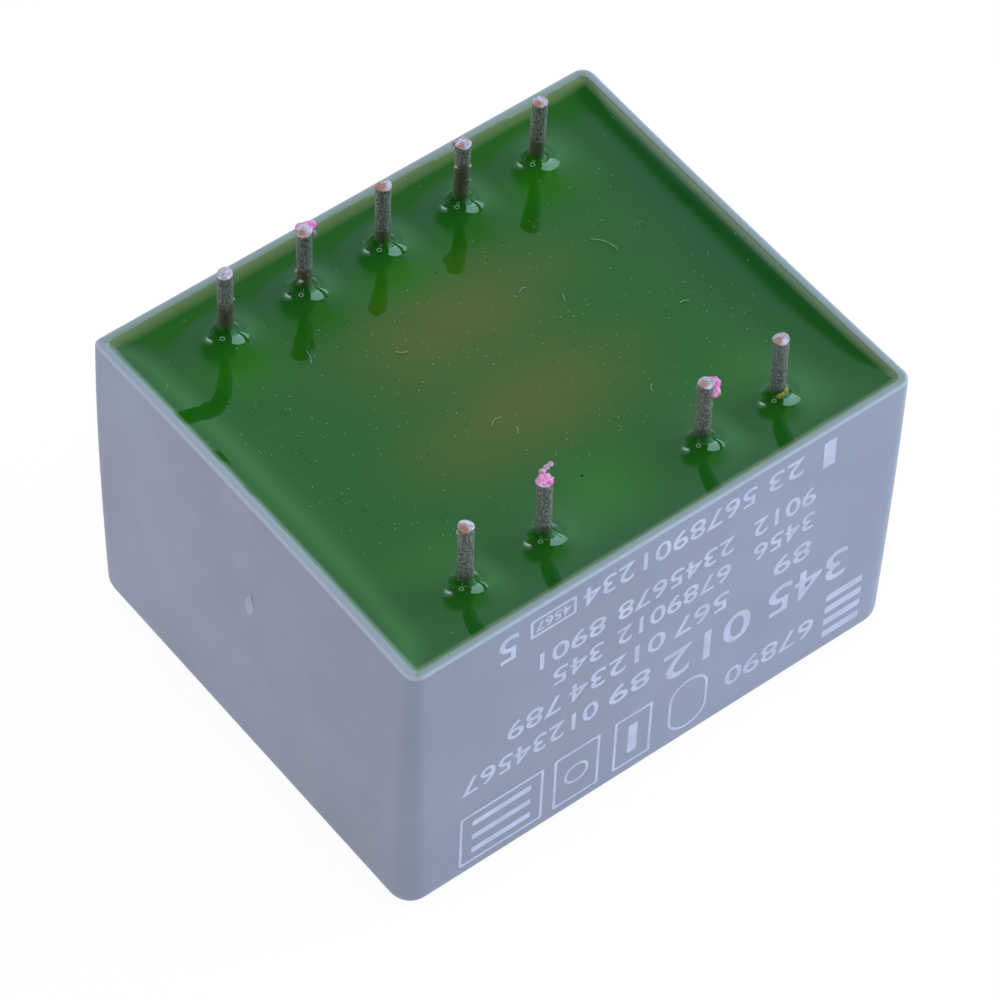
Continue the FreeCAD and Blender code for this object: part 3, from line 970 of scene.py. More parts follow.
    def bowed(self, point: Vector) -> Vector:
        """Moves a point of the wall as shrinkage and handling did.

        Args:
            point: A point of the true shape.

        Returns:
            The point, always inside the true shape's box.
        """
        point = point + self.lean_in(point)
        depth = self.high.z - point.z
        if depth < self.nick_band:
            place = Vector((point.x, point.y, 0)) / self.nick_size
            fine = max(0.0, noise.noise(place * self.fine_nick_scale))
            nick = max(0.0, noise.noise(place) - self.nick_start) + self.fine_nick * fine
            point.z -= nick * self.nick_depth
        return point

    def lean_in(self, point: Vector) -> Vector:
        """How far the wall beside a point stands in at the point's height, as the photograph shows it.

        Args:
            point: A point of the true shape.

        Returns:
            The shift, level, and 0 away from the walls.
        """
        rise = max(0.0, point.z / self.high.z) ** 3
        bulge = max(0.0, 1 - (point.y / self.high.y) ** 2)
        left = (self.lean_left + self.bow_left * bulge) * self.nearness(self.high.x + point.x)
        right = self.bow_right * bulge * self.nearness(self.high.x - point.x)
        near = self.lean_near * self.nearness(self.high.y + point.y)
        far = self.lean_far * self.nearness(self.high.y - point.y)
        return Vector((left - right, near - far, 0)) * rise

    def nearness(self, gap: float) -> float:
        """How strongly a wall moves what stands off it: 1 beside it, and 0 from a few millimetres on."""
        share = min(1.0, max(0.0, (self.lean_outer - gap) / (self.lean_outer - self.lean_inner)))
        return share * share * (3 - 2 * share)


class Wall(Enum):
    """The four walls: axis, side, the resin's reach and rise there, and the reach and colour of its film."""

    LEFT = ("X", -1.0, 1.15, 0.64, 0.36, (0.2, 0.3, 0.25))
    RIGHT = ("X", 1.0, 1.0, 0.62, 0.4, (0.155, 0.225, 0.12))
    NEAR = ("Y", -1.0, 1.7, 0.56, 0.34, (0.17, 0.25, 0.145))
    FAR = ("Y", 1.0, 0.9, 0.61, 0.62, (0.16, 0.23, 0.105))

    def __init__(
        self, axis: str, side: float, reach: float, rise: float, film_reach: float, film_colour: Colour
    ) -> None:
        """Names the wall's values.

        Args:
            axis: The axis that the wall stands across.
            side: The side of the middle that it is on.
            reach: How far from it the resin's climb falls to about a third, in millimetres.
            rise: How high the resin goes at it, in millimetres.
            film_reach: How far from it the thin resin lets it show, in millimetres.
            film_colour: The colour there.
        """
        self.axis = axis
        self.side = side
        self.reach = reach * MM
        self.rise = rise * MM
        self.film_reach = film_reach
        self.film_colour = film_colour

    def size(self, key: str) -> str:
        """The name of one of this wall's inputs in a pattern."""
        return f"{self.name.title()} {key}"


class MeniscusPattern(Pattern):
    """Raises the flat resin to its level, up the walls and up the pins."""

    swell_scale: ClassVar[float] = 0.11

    def __init__(self) -> None:
        """Names the casting's sizes as inputs."""
        sizes = ["Half Length", "Half Width", "Highest"]
        sizes += [wall.size(key) for wall in Wall for key in ("Reach", "Rise")]
        sizes += ["Pin Pitch", "Row Place", "Level", "Pin Climb", "Pin Reach", "Pin Film", "Film Reach"]
        sizes += ["Sink", "Swell", "Seed"]
        super().__init__("resin_menisci", dict.fromkeys(sizes, "Float"))

    def draw(self) -> None:
        """Adds the climbs up the walls and pins to a nearly flat surface."""
        desk = self.desk
        position = desk.add("GeometryNodeInputPosition").outputs[0]
        marked = self.store(self.value("Geometry"), "cast_place", position, "FLOAT_VECTOR")
        skin = desk.add("GeometryNodeInputNamedAttribute", {"Name": "skin"}, data_type="FLOAT")
        height = desk.calc("ADD", self.wall_climb(position), self.pin_climb(position))
        height = desk.calc("ADD", height, self.swell(position))
        height = desk.calc("SUBTRACT", height, self.value("Sink"))
        offset = desk.join({2: height})
        picked = desk.calc("GREATER_THAN", skin.outputs[0], 0.5)
        feeds = {"Geometry": marked, "Selection": picked, "Offset": offset}
        raised = desk.add("GeometryNodeSetPosition", feeds).outputs[0]
        self.close(raised, RESIN_FINISH)

    def wall_climb(self, position: Feed) -> Socket:
        """The climbs up the four walls, joined so that none goes over the highest in a corner.

        Args:
            position: The point's place.

        Returns:
            The height over the level.
        """
        desk = self.desk
        x, y, _ = desk.split(position)
        climbs = []
        for wall in Wall:
            along, half = (x, "Half Length") if wall.axis == "X" else (y, "Half Width")
            gap = desk.calc("SUBTRACT", self.value(half), desk.calc("MULTIPLY", along, wall.side))
            share = desk.calc("DIVIDE", gap, self.value(wall.size("Reach")))
            fall = desk.calc("EXPONENT", desk.calc("MULTIPLY", share, -1.0))
            climbs.append(desk.calc("MULTIPLY", fall, self.value(wall.size("Rise"))))
        across = desk.calc("ADD", climbs[0], climbs[1])
        along = desk.calc("ADD", climbs[2], climbs[3])
        shared = desk.calc("DIVIDE", desk.calc("MULTIPLY", across, along), self.value("Highest"))
        return desk.calc("SUBTRACT", desk.calc("ADD", across, along), shared)

    def pin_climb(self, position: Feed) -> Socket:
        """The climbs up all pins, each steep at its pin with a low tail; the highest one counts most.

        Args:
            position: The point's place.

        Returns:
            The height over the level.
        """
        desk = self.desk
        total: Feed = 0.0
        for pin in PIN_PLACES:
            feeds = {
                0: desk.calc("MULTIPLY", self.value("Pin Pitch"), float(pin.column)),
                1: desk.calc("MULTIPLY", self.value("Row Place"), float(pin.row)),
                2: self.value("Level"),
            }
            foot = desk.join(feeds)
            away = desk.calc("MULTIPLY", desk.vector("DISTANCE", position, foot), -1.0)
            near = desk.calc("EXPONENT", desk.calc("DIVIDE", away, self.value("Pin Reach")))
            slope = desk.calc("LOGARITHM", desk.calc("SUBTRACT", 1.0, near), math.e)
            tail = desk.calc("MULTIPLY", slope, desk.calc("MULTIPLY", self.value("Pin Climb"), -1.0))
            film = desk.calc("EXPONENT", desk.calc("DIVIDE", away, self.value("Film Reach")))
            climb = desk.calc("MULTIPLY_ADD", film, self.value("Pin Film"), tail)
            total = desk.calc("ADD", total, desk.calc("POWER", climb, 3.0))
        return desk.calc("POWER", total, 1 / 3)

    def swell(self, position: Feed) -> Socket:
        """A slow unevenness of the whole surface.

        Args:
            position: The point's place.

        Returns:
            The height over the level.
        """
        desk = self.desk
        seed = desk.join({2: self.value("Seed")})
        place = desk.vector("ADD", desk.vector("SCALE", position, scale=1 / MM), seed)
        wave = desk.calc("SUBTRACT", desk.grain(place, self.swell_scale, 1.0), 0.5)
        return desk.calc("MULTIPLY", wave, self.value("Swell"))


@dataclass(frozen=True)
class PinPlace:
    """One pin: its place on the grid, its tip's lean, and the marks that age left on it."""

    number: int
    column: int
    row: int
    lean: Point2
    stain_top: float
    copper: float
    tip_drop: float = 0.0


PIN_PLACES = (
    PinPlace(1, 2, -1, (-0.11, 0.13), 20.7, 0.5),
    PinPlace(2, 1, -1, (0.1, 0.2), 21.0, 0.5, 0.03),
    PinPlace(4, -1, -1, (-0.1, 0.2), 20.8, 0.2, 0.16),
    PinPlace(5, -2, -1, (0.06, 0.2), 20.9, 0.6, 0.02),
    PinPlace(6, -2, 1, (0.1, 0.1), 22.3, 0.05),
    PinPlace(7, -1, 1, (0.0, 0.02), 21.6, 0.5, 0.02),
    PinPlace(8, 0, 1, (0.06, 0.06), 21.3, 0.75, 0.01),
    PinPlace(9, 1, 1, (0.08, -0.1), 22.9, 0.45, 0.03),
    PinPlace(10, 2, 1, (0.02, -0.18), 21.7, 0.55),
)


@dataclass
class PinGrid:
    """Where the pins stand and how they lean."""

    pitch: float = 5.0 * MM
    row_place: float = 10.0 * MM
    rail_top: float = 17.5 * MM
    tip_top: float = field(default_factory=lambda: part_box("pin_1")[1].z)

    def foot(self, place: PinPlace) -> Vector:
        """The pin's axis where it leaves its rail."""
        return Vector((place.column * self.pitch, place.row * self.row_place, self.rail_top))

    def tip(self, place: PinPlace) -> Vector:
        """The middle of the pin's clipped end."""
        rise = self.tip_top - self.rail_top - place.tip_drop * MM
        return self.foot(place) + Vector((place.lean[0] * MM, place.lean[1] * MM, 0)) + Vector((0, 0, rise))

    def lean_at(self, place: PinPlace, z: float) -> Vector:
        """How far the pin's axis has left its place at a height."""
        share = (z - self.rail_top) / (self.tip_top - self.rail_top)
        return Vector((place.lean[0] * MM, place.lean[1] * MM, 0)) * share


@dataclass
class ResinCasting:
    """The cast resin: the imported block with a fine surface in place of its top."""

    pins: PinGrid
    case: MouldedCase
    level: float = 19.35 * MM
    cut: float = 19.0 * MM
    wire_radius: float = 0.4 * MM
    pin_climb: float = 0.43 * MM
    pin_reach: float = 1.6 * MM
    pin_film: float = 4.0 * MM
    film_reach: float = 0.18 * MM
    sink: float = 0.08 * MM
    highest_climb: float = 0.66 * MM
    edge_step: float = 0.2 * MM
    grid_step: float = 0.22 * MM
    ring_steps: int = 56
    ring_count: int = 18
    ring_reach: float = 2.0 * MM
    wall_reach: float = 2.2 * MM
    edge_tuck: float = 0.03 * MM
    swell: float = 0.03 * MM
    swell_seed: float = 4.0
    first_row: float = 0.07 * MM
    row_growth: float = 1.26
    row_side_steps: int = 128
    row_corner_steps: int = 4
    ring_growth: float = 1.5
    bore_share: float = 0.96
    skin_depth: float = 0.1 * MM
    lean_gain: float = 1.4

    def build(self) -> Piece:
        """Makes the casting and puts it in the place of the plain one.

        Returns:
            The casting.
        """
        blank = self.blank()
        case = self.case
        values: dict[str, object] = {
            "Half Length": case.high.x - case.rim_wall,
            "Half Width": case.high.y - case.rim_wall,
            "Highest": self.highest_climb,
            "Pin Pitch": self.pins.pitch,
            "Row Place": self.pins.row_place,
            "Level": self.level,
            "Pin Climb": self.pin_climb,
            "Pin Reach": self.pin_reach,
            "Pin Film": self.pin_film,
            "Film Reach": self.film_reach,
            "Sink": self.sink,
            "Swell": self.swell,
            "Seed": self.swell_seed,
        }
        for wall in Wall:
            values.update({wall.size("Reach"): wall.reach, wall.size("Rise"): wall.rise})
        piece = MeniscusPattern().build("resin_casting", blank, values)
        self.lean_menisci(piece.data)
        for vert in piece.data.vertices:
            vert.co += case.lean_in(vert.co)
        self.dress(piece)
        return piece

    def dress(self, piece: Piece) -> None:
        """Says what the piece rides on and stands for."""
        settle(piece, "potting_resin")

    def blank(self) -> bpy.types.Mesh:
        """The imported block, cut under its surface and closed with a flat, fine one.

        Returns:
            The mesh, with the surface's points marked in the attribute skin.
        """
        bm = bmesh.new()
        bm.from_mesh(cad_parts["potting_resin"].data)
        skin = bm.verts.layers.float.new("skin")
        bmesh.ops.remove_doubles(bm, verts=bm.verts, dist=1e-7)
        everything = bm.verts[:] + bm.edges[:] + bm.faces[:]
        bmesh.ops.bisect_plane(
            bm, geom=everything, dist=1e-8, plane_co=(0, 0, self.cut), plane_no=(0, 0, 1), clear_outer=True
        )
        rim_edges = [edge for edge in bm.edges if len(edge.link_faces) == 1]
        for count in {self.edge_cuts(edge) for edge in rim_edges} - {0}:
            chosen = [edge for edge in rim_edges if edge.is_valid and self.edge_cuts(edge) == count]
            bmesh.ops.subdivide_edges(bm, edges=chosen, cuts=count)
        loops = self.open_loops(bm)
        for face in bm.faces:
            face.smooth = False
        self.close_top(bm, loops, skin)
        return mesh_from(bm, "resin_blank")

    def edge_cuts(self, edge: bmesh.types.BMEdge) -> int:
        """How many cuts bring an open edge down to the surface's step."""
        return int(edge.calc_length() / self.edge_step)

    def open_loops(self, bm: bmesh.types.BMesh) -> list[list[bmesh.types.BMVert]]:
        """The open edge's loops, each anticlockwise seen from above, the outline first.

        Args:
            bm: The cut block.

        Returns:
            The loops' points, in order.
        """
        after = {}
        for edge in bm.edges:
            if len(edge.link_faces) == 1:
                first, second = edge.verts
                after.setdefault(first, []).append(second)
                after.setdefault(second, []).append(first)
        loops = []
        left = dict.fromkeys(sorted(after, key=lambda vert: tuple(vert.co)))
        while left:
            start = next(iter(left))
            loop, previous, current = [], None, start
            while current is not None:
                loop.append(current)
                left.pop(current)
                onward = [vert for vert in after[current] if vert is not previous and vert in left]
                previous, current = current, onward[0] if onward else None
            area = sum(a.co.x * b.co.y - b.co.x * a.co.y for a, b in zip(loop, loop[1:] + loop[:1]))
            loops.append(loop if area > 0 else loop[::-1])
        return sorted(loops, key=len, reverse=True)

    def close_top(self, bm: bmesh.types.BMesh, loops: list, skin: bmesh.types.BMLayerItem) -> None:
        """Closes the cut block with upright edges and a flat surface of fine triangles.

        Args:
            bm: The cut block.
            loops: Its open loops, the outline first.
            skin: The layer that marks the surface.
        """
        flat: list[Vector] = []
        edges: list[tuple[int, int]] = []
        for number, loop in enumerate(loops):
            start = len(flat)
            tuck = 1 + self.edge_tuck / self.case.high.x if number == 0 else 1
            flat += [vert.co.xy * tuck for vert in loop]
            edges += [(start + i, start + (i + 1) % len(loop)) for i in range(len(loop))]
        flat += self.surface_points()
        verts, _, faces, origins, _, _ = geometry.delaunay_2d_cdt(flat, edges, [], 1, 1e-7, True)
        made = [bm.verts.new((vert.x, vert.y, self.level)) for vert in verts]
        for vert in made:
            vert[skin] = 1.0
        for face in faces:
            middle = sum((verts[i] for i in face), Vector((0, 0))) / len(face)
            if not self.in_bore(middle):
                new_face = bm.faces.new([made[i] for i in face])
                new_face.smooth = True
        new_of = {origin: made[i] for i, found in enumerate(origins) for origin in found}
        start = 0
        for number, loop in enumerate(loops):
            for i in range(len(loop)):
                j = (i + 1) % len(loop)
                corners = [loop[i], loop[j], new_of[start + j], new_of[start + i]]
                bm.faces.new(corners if number == 0 else corners[::-1])
                edge = bm.edges.get((new_of[start + j], new_of[start + i]))
                edge.smooth = False
            start += len(loop)
        bmesh.ops.delete(bm, geom=[vert for vert in made if not vert.link_faces], context="VERTS")

    def in_bore(self, place: Vector) -> bool:
        """Whether a point lies in one of the pins' bores."""
        radius = self.wire_radius * self.bore_share
        return any((place - self.pins.foot(pin).xy).length < radius for pin in PIN_PLACES)

    def surface_points(self) -> list[Vector]:
        """The surface's inner points: rows along the walls, rings round the pins, and a grid between.

        Returns:
            The points, seen from above.
        """
        half_x = self.case.high.x - self.case.rim_wall
        half_y = self.case.high.y - self.case.rim_wall
        centres = [self.pins.foot(pin).xy for pin in PIN_PLACES]
        points = []
        radii = [self.case.cavity_corner_radius] * 4
        steps = (self.row_side_steps, self.row_corner_steps)
        gap = self.first_row
        while gap < self.wall_reach:
            points += [point.xy for point in rounded_ring(half_x - gap, half_y - gap, radii, *steps)]
            gap *= self.row_growth
        columns = int((half_x - self.wall_reach) / self.grid_step)
        rows = int((half_y - self.wall_reach) / self.grid_step)
        points += [
            Vector((column, row)) * self.grid_step
            for column in range(-columns, columns + 1)
            for row in range(-rows, rows + 1)
        ]
        points = [p for p in points if all((p - centre).length > self.ring_reach for centre in centres)]
        for centre in centres:
            for ring_number in range(1, self.ring_count + 1):
                share = ring_number / self.ring_count
                radius = self.wire_radius + (self.ring_reach - self.wire_radius) * share**self.ring_growth
                for step in range(self.ring_steps):
                    turn = 2 * math.pi * (step + ring_number % 2 / 2) / self.ring_steps
                    points.append(centre + Vector((math.cos(turn), math.sin(turn))) * radius)
        return points

    def lean_menisci(self, mesh: bpy.types.Mesh) -> None:
        """Moves each meniscus with its leaning pin.

        Args:
            mesh: The casting's mesh.
        """
        for vert in mesh.vertices:
            if vert.co.z < self.level - self.skin_depth:
                continue
            for pin in PIN_PLACES:
                gap = (vert.co.xy - self.pins.foot(pin).xy).length
                if gap < self.ring_reach:
                    fall = 1 - gap / self.ring_reach
                    vert.co += self.pins.lean_at(pin, vert.co.z) * min(1.0, self.lean_gain * fall)


class PinPattern(Pattern):
    """A clipped wire: a leaning, pitted shank with a sheared end."""

    sides: ClassVar[int] = 40
    rings: ClassVar[int] = 90
    fill: ClassVar[int] = 7
    # Heights are shares of the wire, which is 1 long and 1 in radius before it is bent.
    end_from: ClassVar[float] = 0.999
    lip_from: ClassVar[float] = 0.975
    shear_from: ClassVar[float] = 0.9
    ridge_place: ClassVar[float] = 0.25
    burr_side: ClassVar[Point3] = (-0.8, -0.3, 0.0)

    def __init__(self) -> None:
        """Names the pin's sizes as inputs."""
        sizes = ("Radius", "Pitting", "Shear", "Shear Turn", "Burr", "Seed", "Stain Top", "Copper")
        super().__init__("clipped_pin", {"Foot": "Vector", "Tip": "Vector", **dict.fromkeys(sizes, "Float")})

    def draw(self) -> None:
        """Bends a fine cylinder to the pin's axis, pits it and shears its end."""
        desk = self.desk
        feeds = {"Vertices": self.sides, "Side Segments": self.rings, "Fill Segments": self.fill}
        feeds.update({"Radius": 1.0, "Depth": 1.0})
        stock = desk.add("GeometryNodeMeshCylinder", feeds, fill_type="TRIANGLE_FAN")
        position = desk.add("GeometryNodeInputPosition").outputs[0]
        x, y, z = desk.split(position)
        along = desk.calc("ADD", z, 0.5)
        local = desk.join({0: x, 1: y, 2: along})
        marked = self.store(stock.outputs["Mesh"], "local", local, "FLOAT_VECTOR")
        for name, key in (("stain_top", "Stain Top"), ("copper", "Copper")):
            marked = self.store(marked, name, self.value(key))
        flat = desk.join({0: x, 1: y})
        span = desk.vector("SUBTRACT", self.value("Tip"), self.value("Foot"))
        axis = desk.vector("ADD", self.value("Foot"), desk.vector("SCALE", span, scale=along))
        girth = self.girth(position, along, flat)
        side = desk.vector("SCALE", flat, scale=girth)
        drop = desk.join({2: self.shear(x, y, along)})
        place = desk.vector("ADD", desk.vector("ADD", axis, side), drop)
        moved = desk.add("GeometryNodeSetPosition", {"Geometry": marked, "Position": place}).outputs[0]
        smooth = desk.add("GeometryNodeSetShadeSmooth", {"Geometry": moved}).outputs[0]
        end = desk.add("GeometryNodeInputNamedAttribute", {"Name": "local"}, data_type="FLOAT_VECTOR")
        height = desk.split(end.outputs[0])[2]
        on_end = desk.calc("GREATER_THAN", height, self.end_from)
        self.close(smooth, PIN_FINISH, CUT_FINISH, on_end)

    def girth(self, position: Feed, along: Feed, flat: Feed) -> Socket:
        """The wire's radius at a point, with its pits and its burr.

        Args:
            position: The point on the stock.
            along: Its height, from 0 to 1.
            flat: Its place across the wire.

        Returns:
            The radius there.
        """
        desk = self.desk
        stretched = desk.vector("MULTIPLY", position, (0.4, 0.4, 7.0))
        seed = desk.join({0: self.value("Seed")})
        place = desk.vector("ADD", stretched, seed)
        coarse = desk.calc("SUBTRACT", desk.grain(place, 2.2, 3.0, 0.6), 0.5)
        fine = desk.calc("SUBTRACT", desk.grain(place, 9.0, 2.0, 0.6), 0.5)
        pitted = desk.calc("MULTIPLY_ADD", fine, 0.5, coarse)
        radius = desk.calc("MULTIPLY_ADD", pitted, self.value("Pitting"), self.value("Radius"))
        lip = desk.calc("MULTIPLY", desk.fade(along, self.lip_from, 1.0), self.value("Burr"))
        facing = desk.vector("DOT_PRODUCT", flat, self.burr_side)
        return desk.calc("MULTIPLY_ADD", lip, desk.calc("MAXIMUM", facing, 0.0), radius)

    def shear(self, x: Feed, y: Feed, along: Feed) -> Socket:
        """How far the clipped end falls away from its ridge.

        Args:
            x: The place across the wire, along X.
            y: The place across the wire, along Y.
            along: The height, from 0 to 1.

        Returns:
            The drop, at or below 0.
        """
        desk = self.desk
        turn = self.value("Shear Turn")
        across = desk.calc("ADD", desk.calc("MULTIPLY", x, desk.calc("COSINE", turn)),
                           desk.calc("MULTIPLY", y, desk.calc("SINE", turn)))
        slope = desk.calc("ABSOLUTE", desk.calc("ADD", across, self.ridge_place))
        drop = desk.calc("MULTIPLY", slope, desk.calc("MULTIPLY", self.value("Shear"), -1.0))
        return desk.calc("MULTIPLY", drop, desk.fade(along, self.shear_from, 1.0))


@dataclass
class ClippedPins:
    """The nine pins, each leaning its own way."""

    grid: PinGrid
    radius: float = 0.415 * MM
    pitting: float = 0.09 * MM
    shear: float = 0.11 * MM
    burr: float = 0.07 * MM
    shear_range: Point2 = (0.6, 1.2)
    burr_range: Point2 = (0.3, 1.4)
    seat: float = 2.7 * MM
    seed_step: float = 7.3
    seed: int = 11

    def build(self) -> list[Piece]:
        """Makes every pin.

        Returns:
            The pins.
        """
        pattern = PinPattern()
        chance = random.Random(self.seed)
        pins = []
        for place in PIN_PLACES:
            values = {
                "Foot": self.grid.foot(place) - Vector((0, 0, self.seat)),
                "Tip": self.grid.tip(place),
                "Radius": self.radius,
                "Pitting": self.pitting,
                "Shear": self.shear * chance.uniform(*self.shear_range),
                "Shear Turn": chance.uniform(0, math.pi),
                "Burr": self.burr * chance.uniform(*self.burr_range),
                "Seed": float(place.number) * self.seed_step,
                "Stain Top": place.stain_top * MM,
                "Copper": place.copper,
            }
            name = f"clipped_pin_{place.number}"
            piece = pattern.build(name, point_mesh(name), values)
            self.dress(piece, place)
            pins.append(piece)
        return pins

    def dress(self, piece: Piece, place: PinPlace) -> None:
        """Says what the pin rides on and stands for."""
        settle(piece, f"pin_{place.number}")


class CrumbPattern(Pattern):
    """A fluffy lump: a ragged core with chips stuck all over it."""

    core_subdivisions: ClassVar[int] = 4
    core_scale: ClassVar[float] = 2.0
    chip_radius: ClassVar[float] = 0.03 * MM
    chip_subdivisions: ClassVar[int] = 2
    chip_turn: ClassVar[float] = 3.0
    smallest_chip: ClassVar[Point3] = (0.4, 0.3, 0.3)
    largest_chip: ClassVar[Point3] = (2.6, 1.0, 0.8)

    def __init__(self, finish: Finish) -> None:
        """Names the lump's sizes as inputs.

        Args:
            finish: What the lump is.
        """
        self.finish = finish
        inputs = {"Size": "Vector", "Centre": "Vector"}
        inputs.update({"Raggedness": "Float", "Chips": "Float", "Seed": "Int"})
        super().__init__(f"lump_{finish.name}", inputs)

    def draw(self) -> None:
        """Roughens a small ball, stretches it and sets chips on it."""
        desk = self.desk
        feeds = {"Radius": 1.0, "Subdivisions": self.core_subdivisions}
        ball = desk.add("GeometryNodeMeshIcoSphere", feeds).outputs[0]
        position = desk.add("GeometryNodeInputPosition").outputs[0]
        seed = desk.join({1: self.value("Seed")})
        moved_on = desk.vector("ADD", position, seed)
        rough = desk.calc("SUBTRACT", desk.grain(moved_on, self.core_scale, 4.0, 0.65), 0.5)
        swell = desk.calc("MULTIPLY_ADD", rough, self.value("Raggedness"), 1.0)
        place = desk.vector("MULTIPLY", desk.vector("SCALE", position, scale=swell), self.value("Size"))
        place = desk.vector("ADD", place, self.value("Centre"))
        moved = desk.add("GeometryNodeSetPosition", {"Geometry": ball, "Position": place}).outputs[0]
        core = desk.add("GeometryNodeSetShadeSmooth", {"Geometry": moved}).outputs[0]
        feeds = {"Mesh": core, "Density": self.value("Chips"), "Seed": self.value("Seed")}
        points = desk.add("GeometryNodeDistributePointsOnFaces", feeds).outputs["Points"]
        feeds = {"Radius": self.chip_radius, "Subdivisions": self.chip_subdivisions}
        chip = desk.add("GeometryNodeMeshIcoSphere", feeds).outputs[0]
        turn = self.chance([-self.chip_turn] * 3, [self.chip_turn] * 3)
        stretch = self.chance(self.smallest_chip, self.largest_chip)
        feeds = {"Points": points, "Instance": chip, "Rotation": turn, "Scale": stretch}
        chips = desk.add("GeometryNodeInstanceOnPoints", feeds).outputs[0]
        joined = desk.add("GeometryNodeJoinGeometry")
        desk.tree.links.new(core, joined.inputs[0])
        desk.tree.links.new(chips, joined.inputs[0])
        self.close(joined.outputs[0], self.finish)


@dataclass(frozen=True)
class Lump:
    """A lump on a pin, placed from its end's middle, in millimetres; right and away as the photo sees it."""

    name: str
    number: int
    right: float
    away: float
    up: float
    size: Point3
    finish: Finish


LUMPS = (
    Lump("residue_2_a", 2, 0.36, 0.22, -0.42, (0.4, 0.36, 0.27), PINK_FINISH),
    Lump("residue_2_b", 2, 0.46, -0.02, -0.72, (0.28, 0.26, 0.32), PINK_FINISH),
    Lump("residue_4_a", 4, 0.02, 0.02, -0.08, (0.44, 0.42, 0.12), PINK_FINISH),
    Lump("residue_4_b", 4, -0.12, 0.6, -0.15, (0.19, 0.16, 0.12), FADED_FINISH),
    Lump("residue_4_c", 4, 0.06, 0.86, -0.13, (0.18, 0.15, 0.1), FADED_FINISH),
    Lump("residue_4_d", 4, 0.26, 1.08, -0.1, (0.15, 0.13, 0.08), FADED_FINISH),
    Lump("residue_7_a", 7, 0.2, 0.52, -0.27, (0.42, 0.3, 0.14), PINK_FINISH),
    Lump("residue_7_b", 7, -0.2, 0.46, -0.27, (0.3, 0.22, 0.14), PINK_FINISH),
    Lump("residue_7_c", 7, 0.48, 0.12, -0.3, (0.12, 0.14, 0.16), FADED_FINISH),
    Lump("residue_9_a", 9, -0.36, 0.14, -0.36, (0.19, 0.26, 0.22), FADED_FINISH),
    Lump("residue_9_b", 9, -0.12, 0.42, -0.23, (0.26, 0.16, 0.12), FADED_FINISH),
    Lump("residue_5", 5, -0.38, -0.18, -0.35, (0.08, 0.11, 0.16), CRUST_FINISH),
    Lump("crust_9_a", 9, 0.36, -0.22, -1.5, (0.1, 0.12, 0.07), CRUST_FINISH),
    Lump("crust_9_b", 9, -0.3, -0.3, -1.5, (0.14, 0.1, 0.06), CRUST_FINISH),
    Lump("crust_9_c", 9, 0.36, -0.12, -2.7, (0.08, 0.1, 0.1), CRUST_FINISH),
    Lump("crust_7_a", 7, -0.36, -0.15, -3.1, (0.11, 0.12, 0.22), CRUST_FINISH),
    Lump("crust_7_b", 7, -0.12, -0.38, -3.5, (0.2, 0.1, 0.1), CRUST_FINISH),
    Lump("crust_5", 5, 0.36, -0.18, -3.2, (0.1, 0.12, 0.18), CRUST_FINISH),
    Lump("crust_6", 6, 0.4, 0.0, -2.0, (0.06, 0.1, 0.12), CRUST_FINISH),
    Lump("flux_1_a", 1, 0.42, -0.12, -3.9, (0.2, 0.2, 0.16), FLUX_FINISH),
    Lump("flux_1_b", 1, 0.24, -0.42, -4.0, (0.24, 0.14, 0.14), FLUX_FINISH),
)


@dataclass
class Residues:
    """Dried flux and pink paint left on the pins."""

    grid: PinGrid
    chips: float = 9e7
    raggedness: float = 1.3
    right: Vector = field(default_factory=lambda: Vector((0.768, -0.64, 0.0)))
    away: Vector = field(default_factory=lambda: Vector((0.64, 0.768, 0.0)))

    def build(self) -> list[Piece]:
        """Makes every lump.

        Returns:
            The pieces.
        """
        patterns = {finish: CrumbPattern(finish) for finish in dict.fromkeys(lump.finish for lump in LUMPS)}
        by_number = {place.number: place for place in PIN_PLACES}
        made = []
        for seed, lump in enumerate(LUMPS):
            offset = lump.right * self.right + lump.away * self.away + Vector((0, 0, lump.up))
            values = {
                "Size": Vector(lump.size) * MM,
                "Centre": self.grid.tip(by_number[lump.number]) + offset * MM,
                "Raggedness": self.raggedness,
                "Chips": self.chips,
                "Seed": seed + 1,
            }
            made.append(patterns[lump.finish].build(lump.name, point_mesh(lump.name), values))
        for piece in made:
            settle(piece)
        return made


class DustPattern(Pattern):
    """Scatters grains and short fibres over the resin."""

    def __init__(self, finish: Finish) -> None:
        """Names the scatter's sizes as inputs.

        Args:
            finish: What the grains are.
        """
        self.finish = finish
        sizes = ("Density", "Smallest", "Largest", "Stretch")
        super().__init__(f"scatter_{finish.name}", {**dict.fromkeys(sizes, "Float"), "Seed": "Int"})

    def draw(self) -> None:
        """Sets small balls at random points, turned and sized at random."""
        desk = self.desk
        feeds = {"Mesh": self.value("Geometry")}
        feeds.update({key: self.value(key) for key in ("Density", "Seed")})
        points = desk.add("GeometryNodeDistributePointsOnFaces", feeds)
        grain = desk.add("GeometryNodeMeshIcoSphere", {"Radius": 1.0, "Subdivisions": 2}).outputs[0]
        feeds = {2: self.value("Smallest"), 3: self.value("Largest"), "Seed": self.value("Seed")}
        size = desk.add("FunctionNodeRandomValue", feeds, data_type="FLOAT").outputs[1]
        turn = self.chance((0.0, 0.0, 0.0), (0.0, 0.0, 2 * math.pi))
        long = desk.join({0: self.value("Stretch"), 1: 1.0, 2: 0.5})
        feeds = {
            "Points": points.outputs["Points"],
            "Instance": grain,
            "Rotation": turn,
            "Scale": desk.vector("SCALE", long, scale=size),
        }
        placed = desk.add("GeometryNodeInstanceOnPoints", feeds).outputs[0]
        self.close(placed, self.finish)


@dataclass(frozen=True)
class Fibre:
    """A fibre on the resin: its middle, length, heading in degrees and bend, in millimetres."""

    x: float
    y: float
    length: float
    heading: float
    bend: float


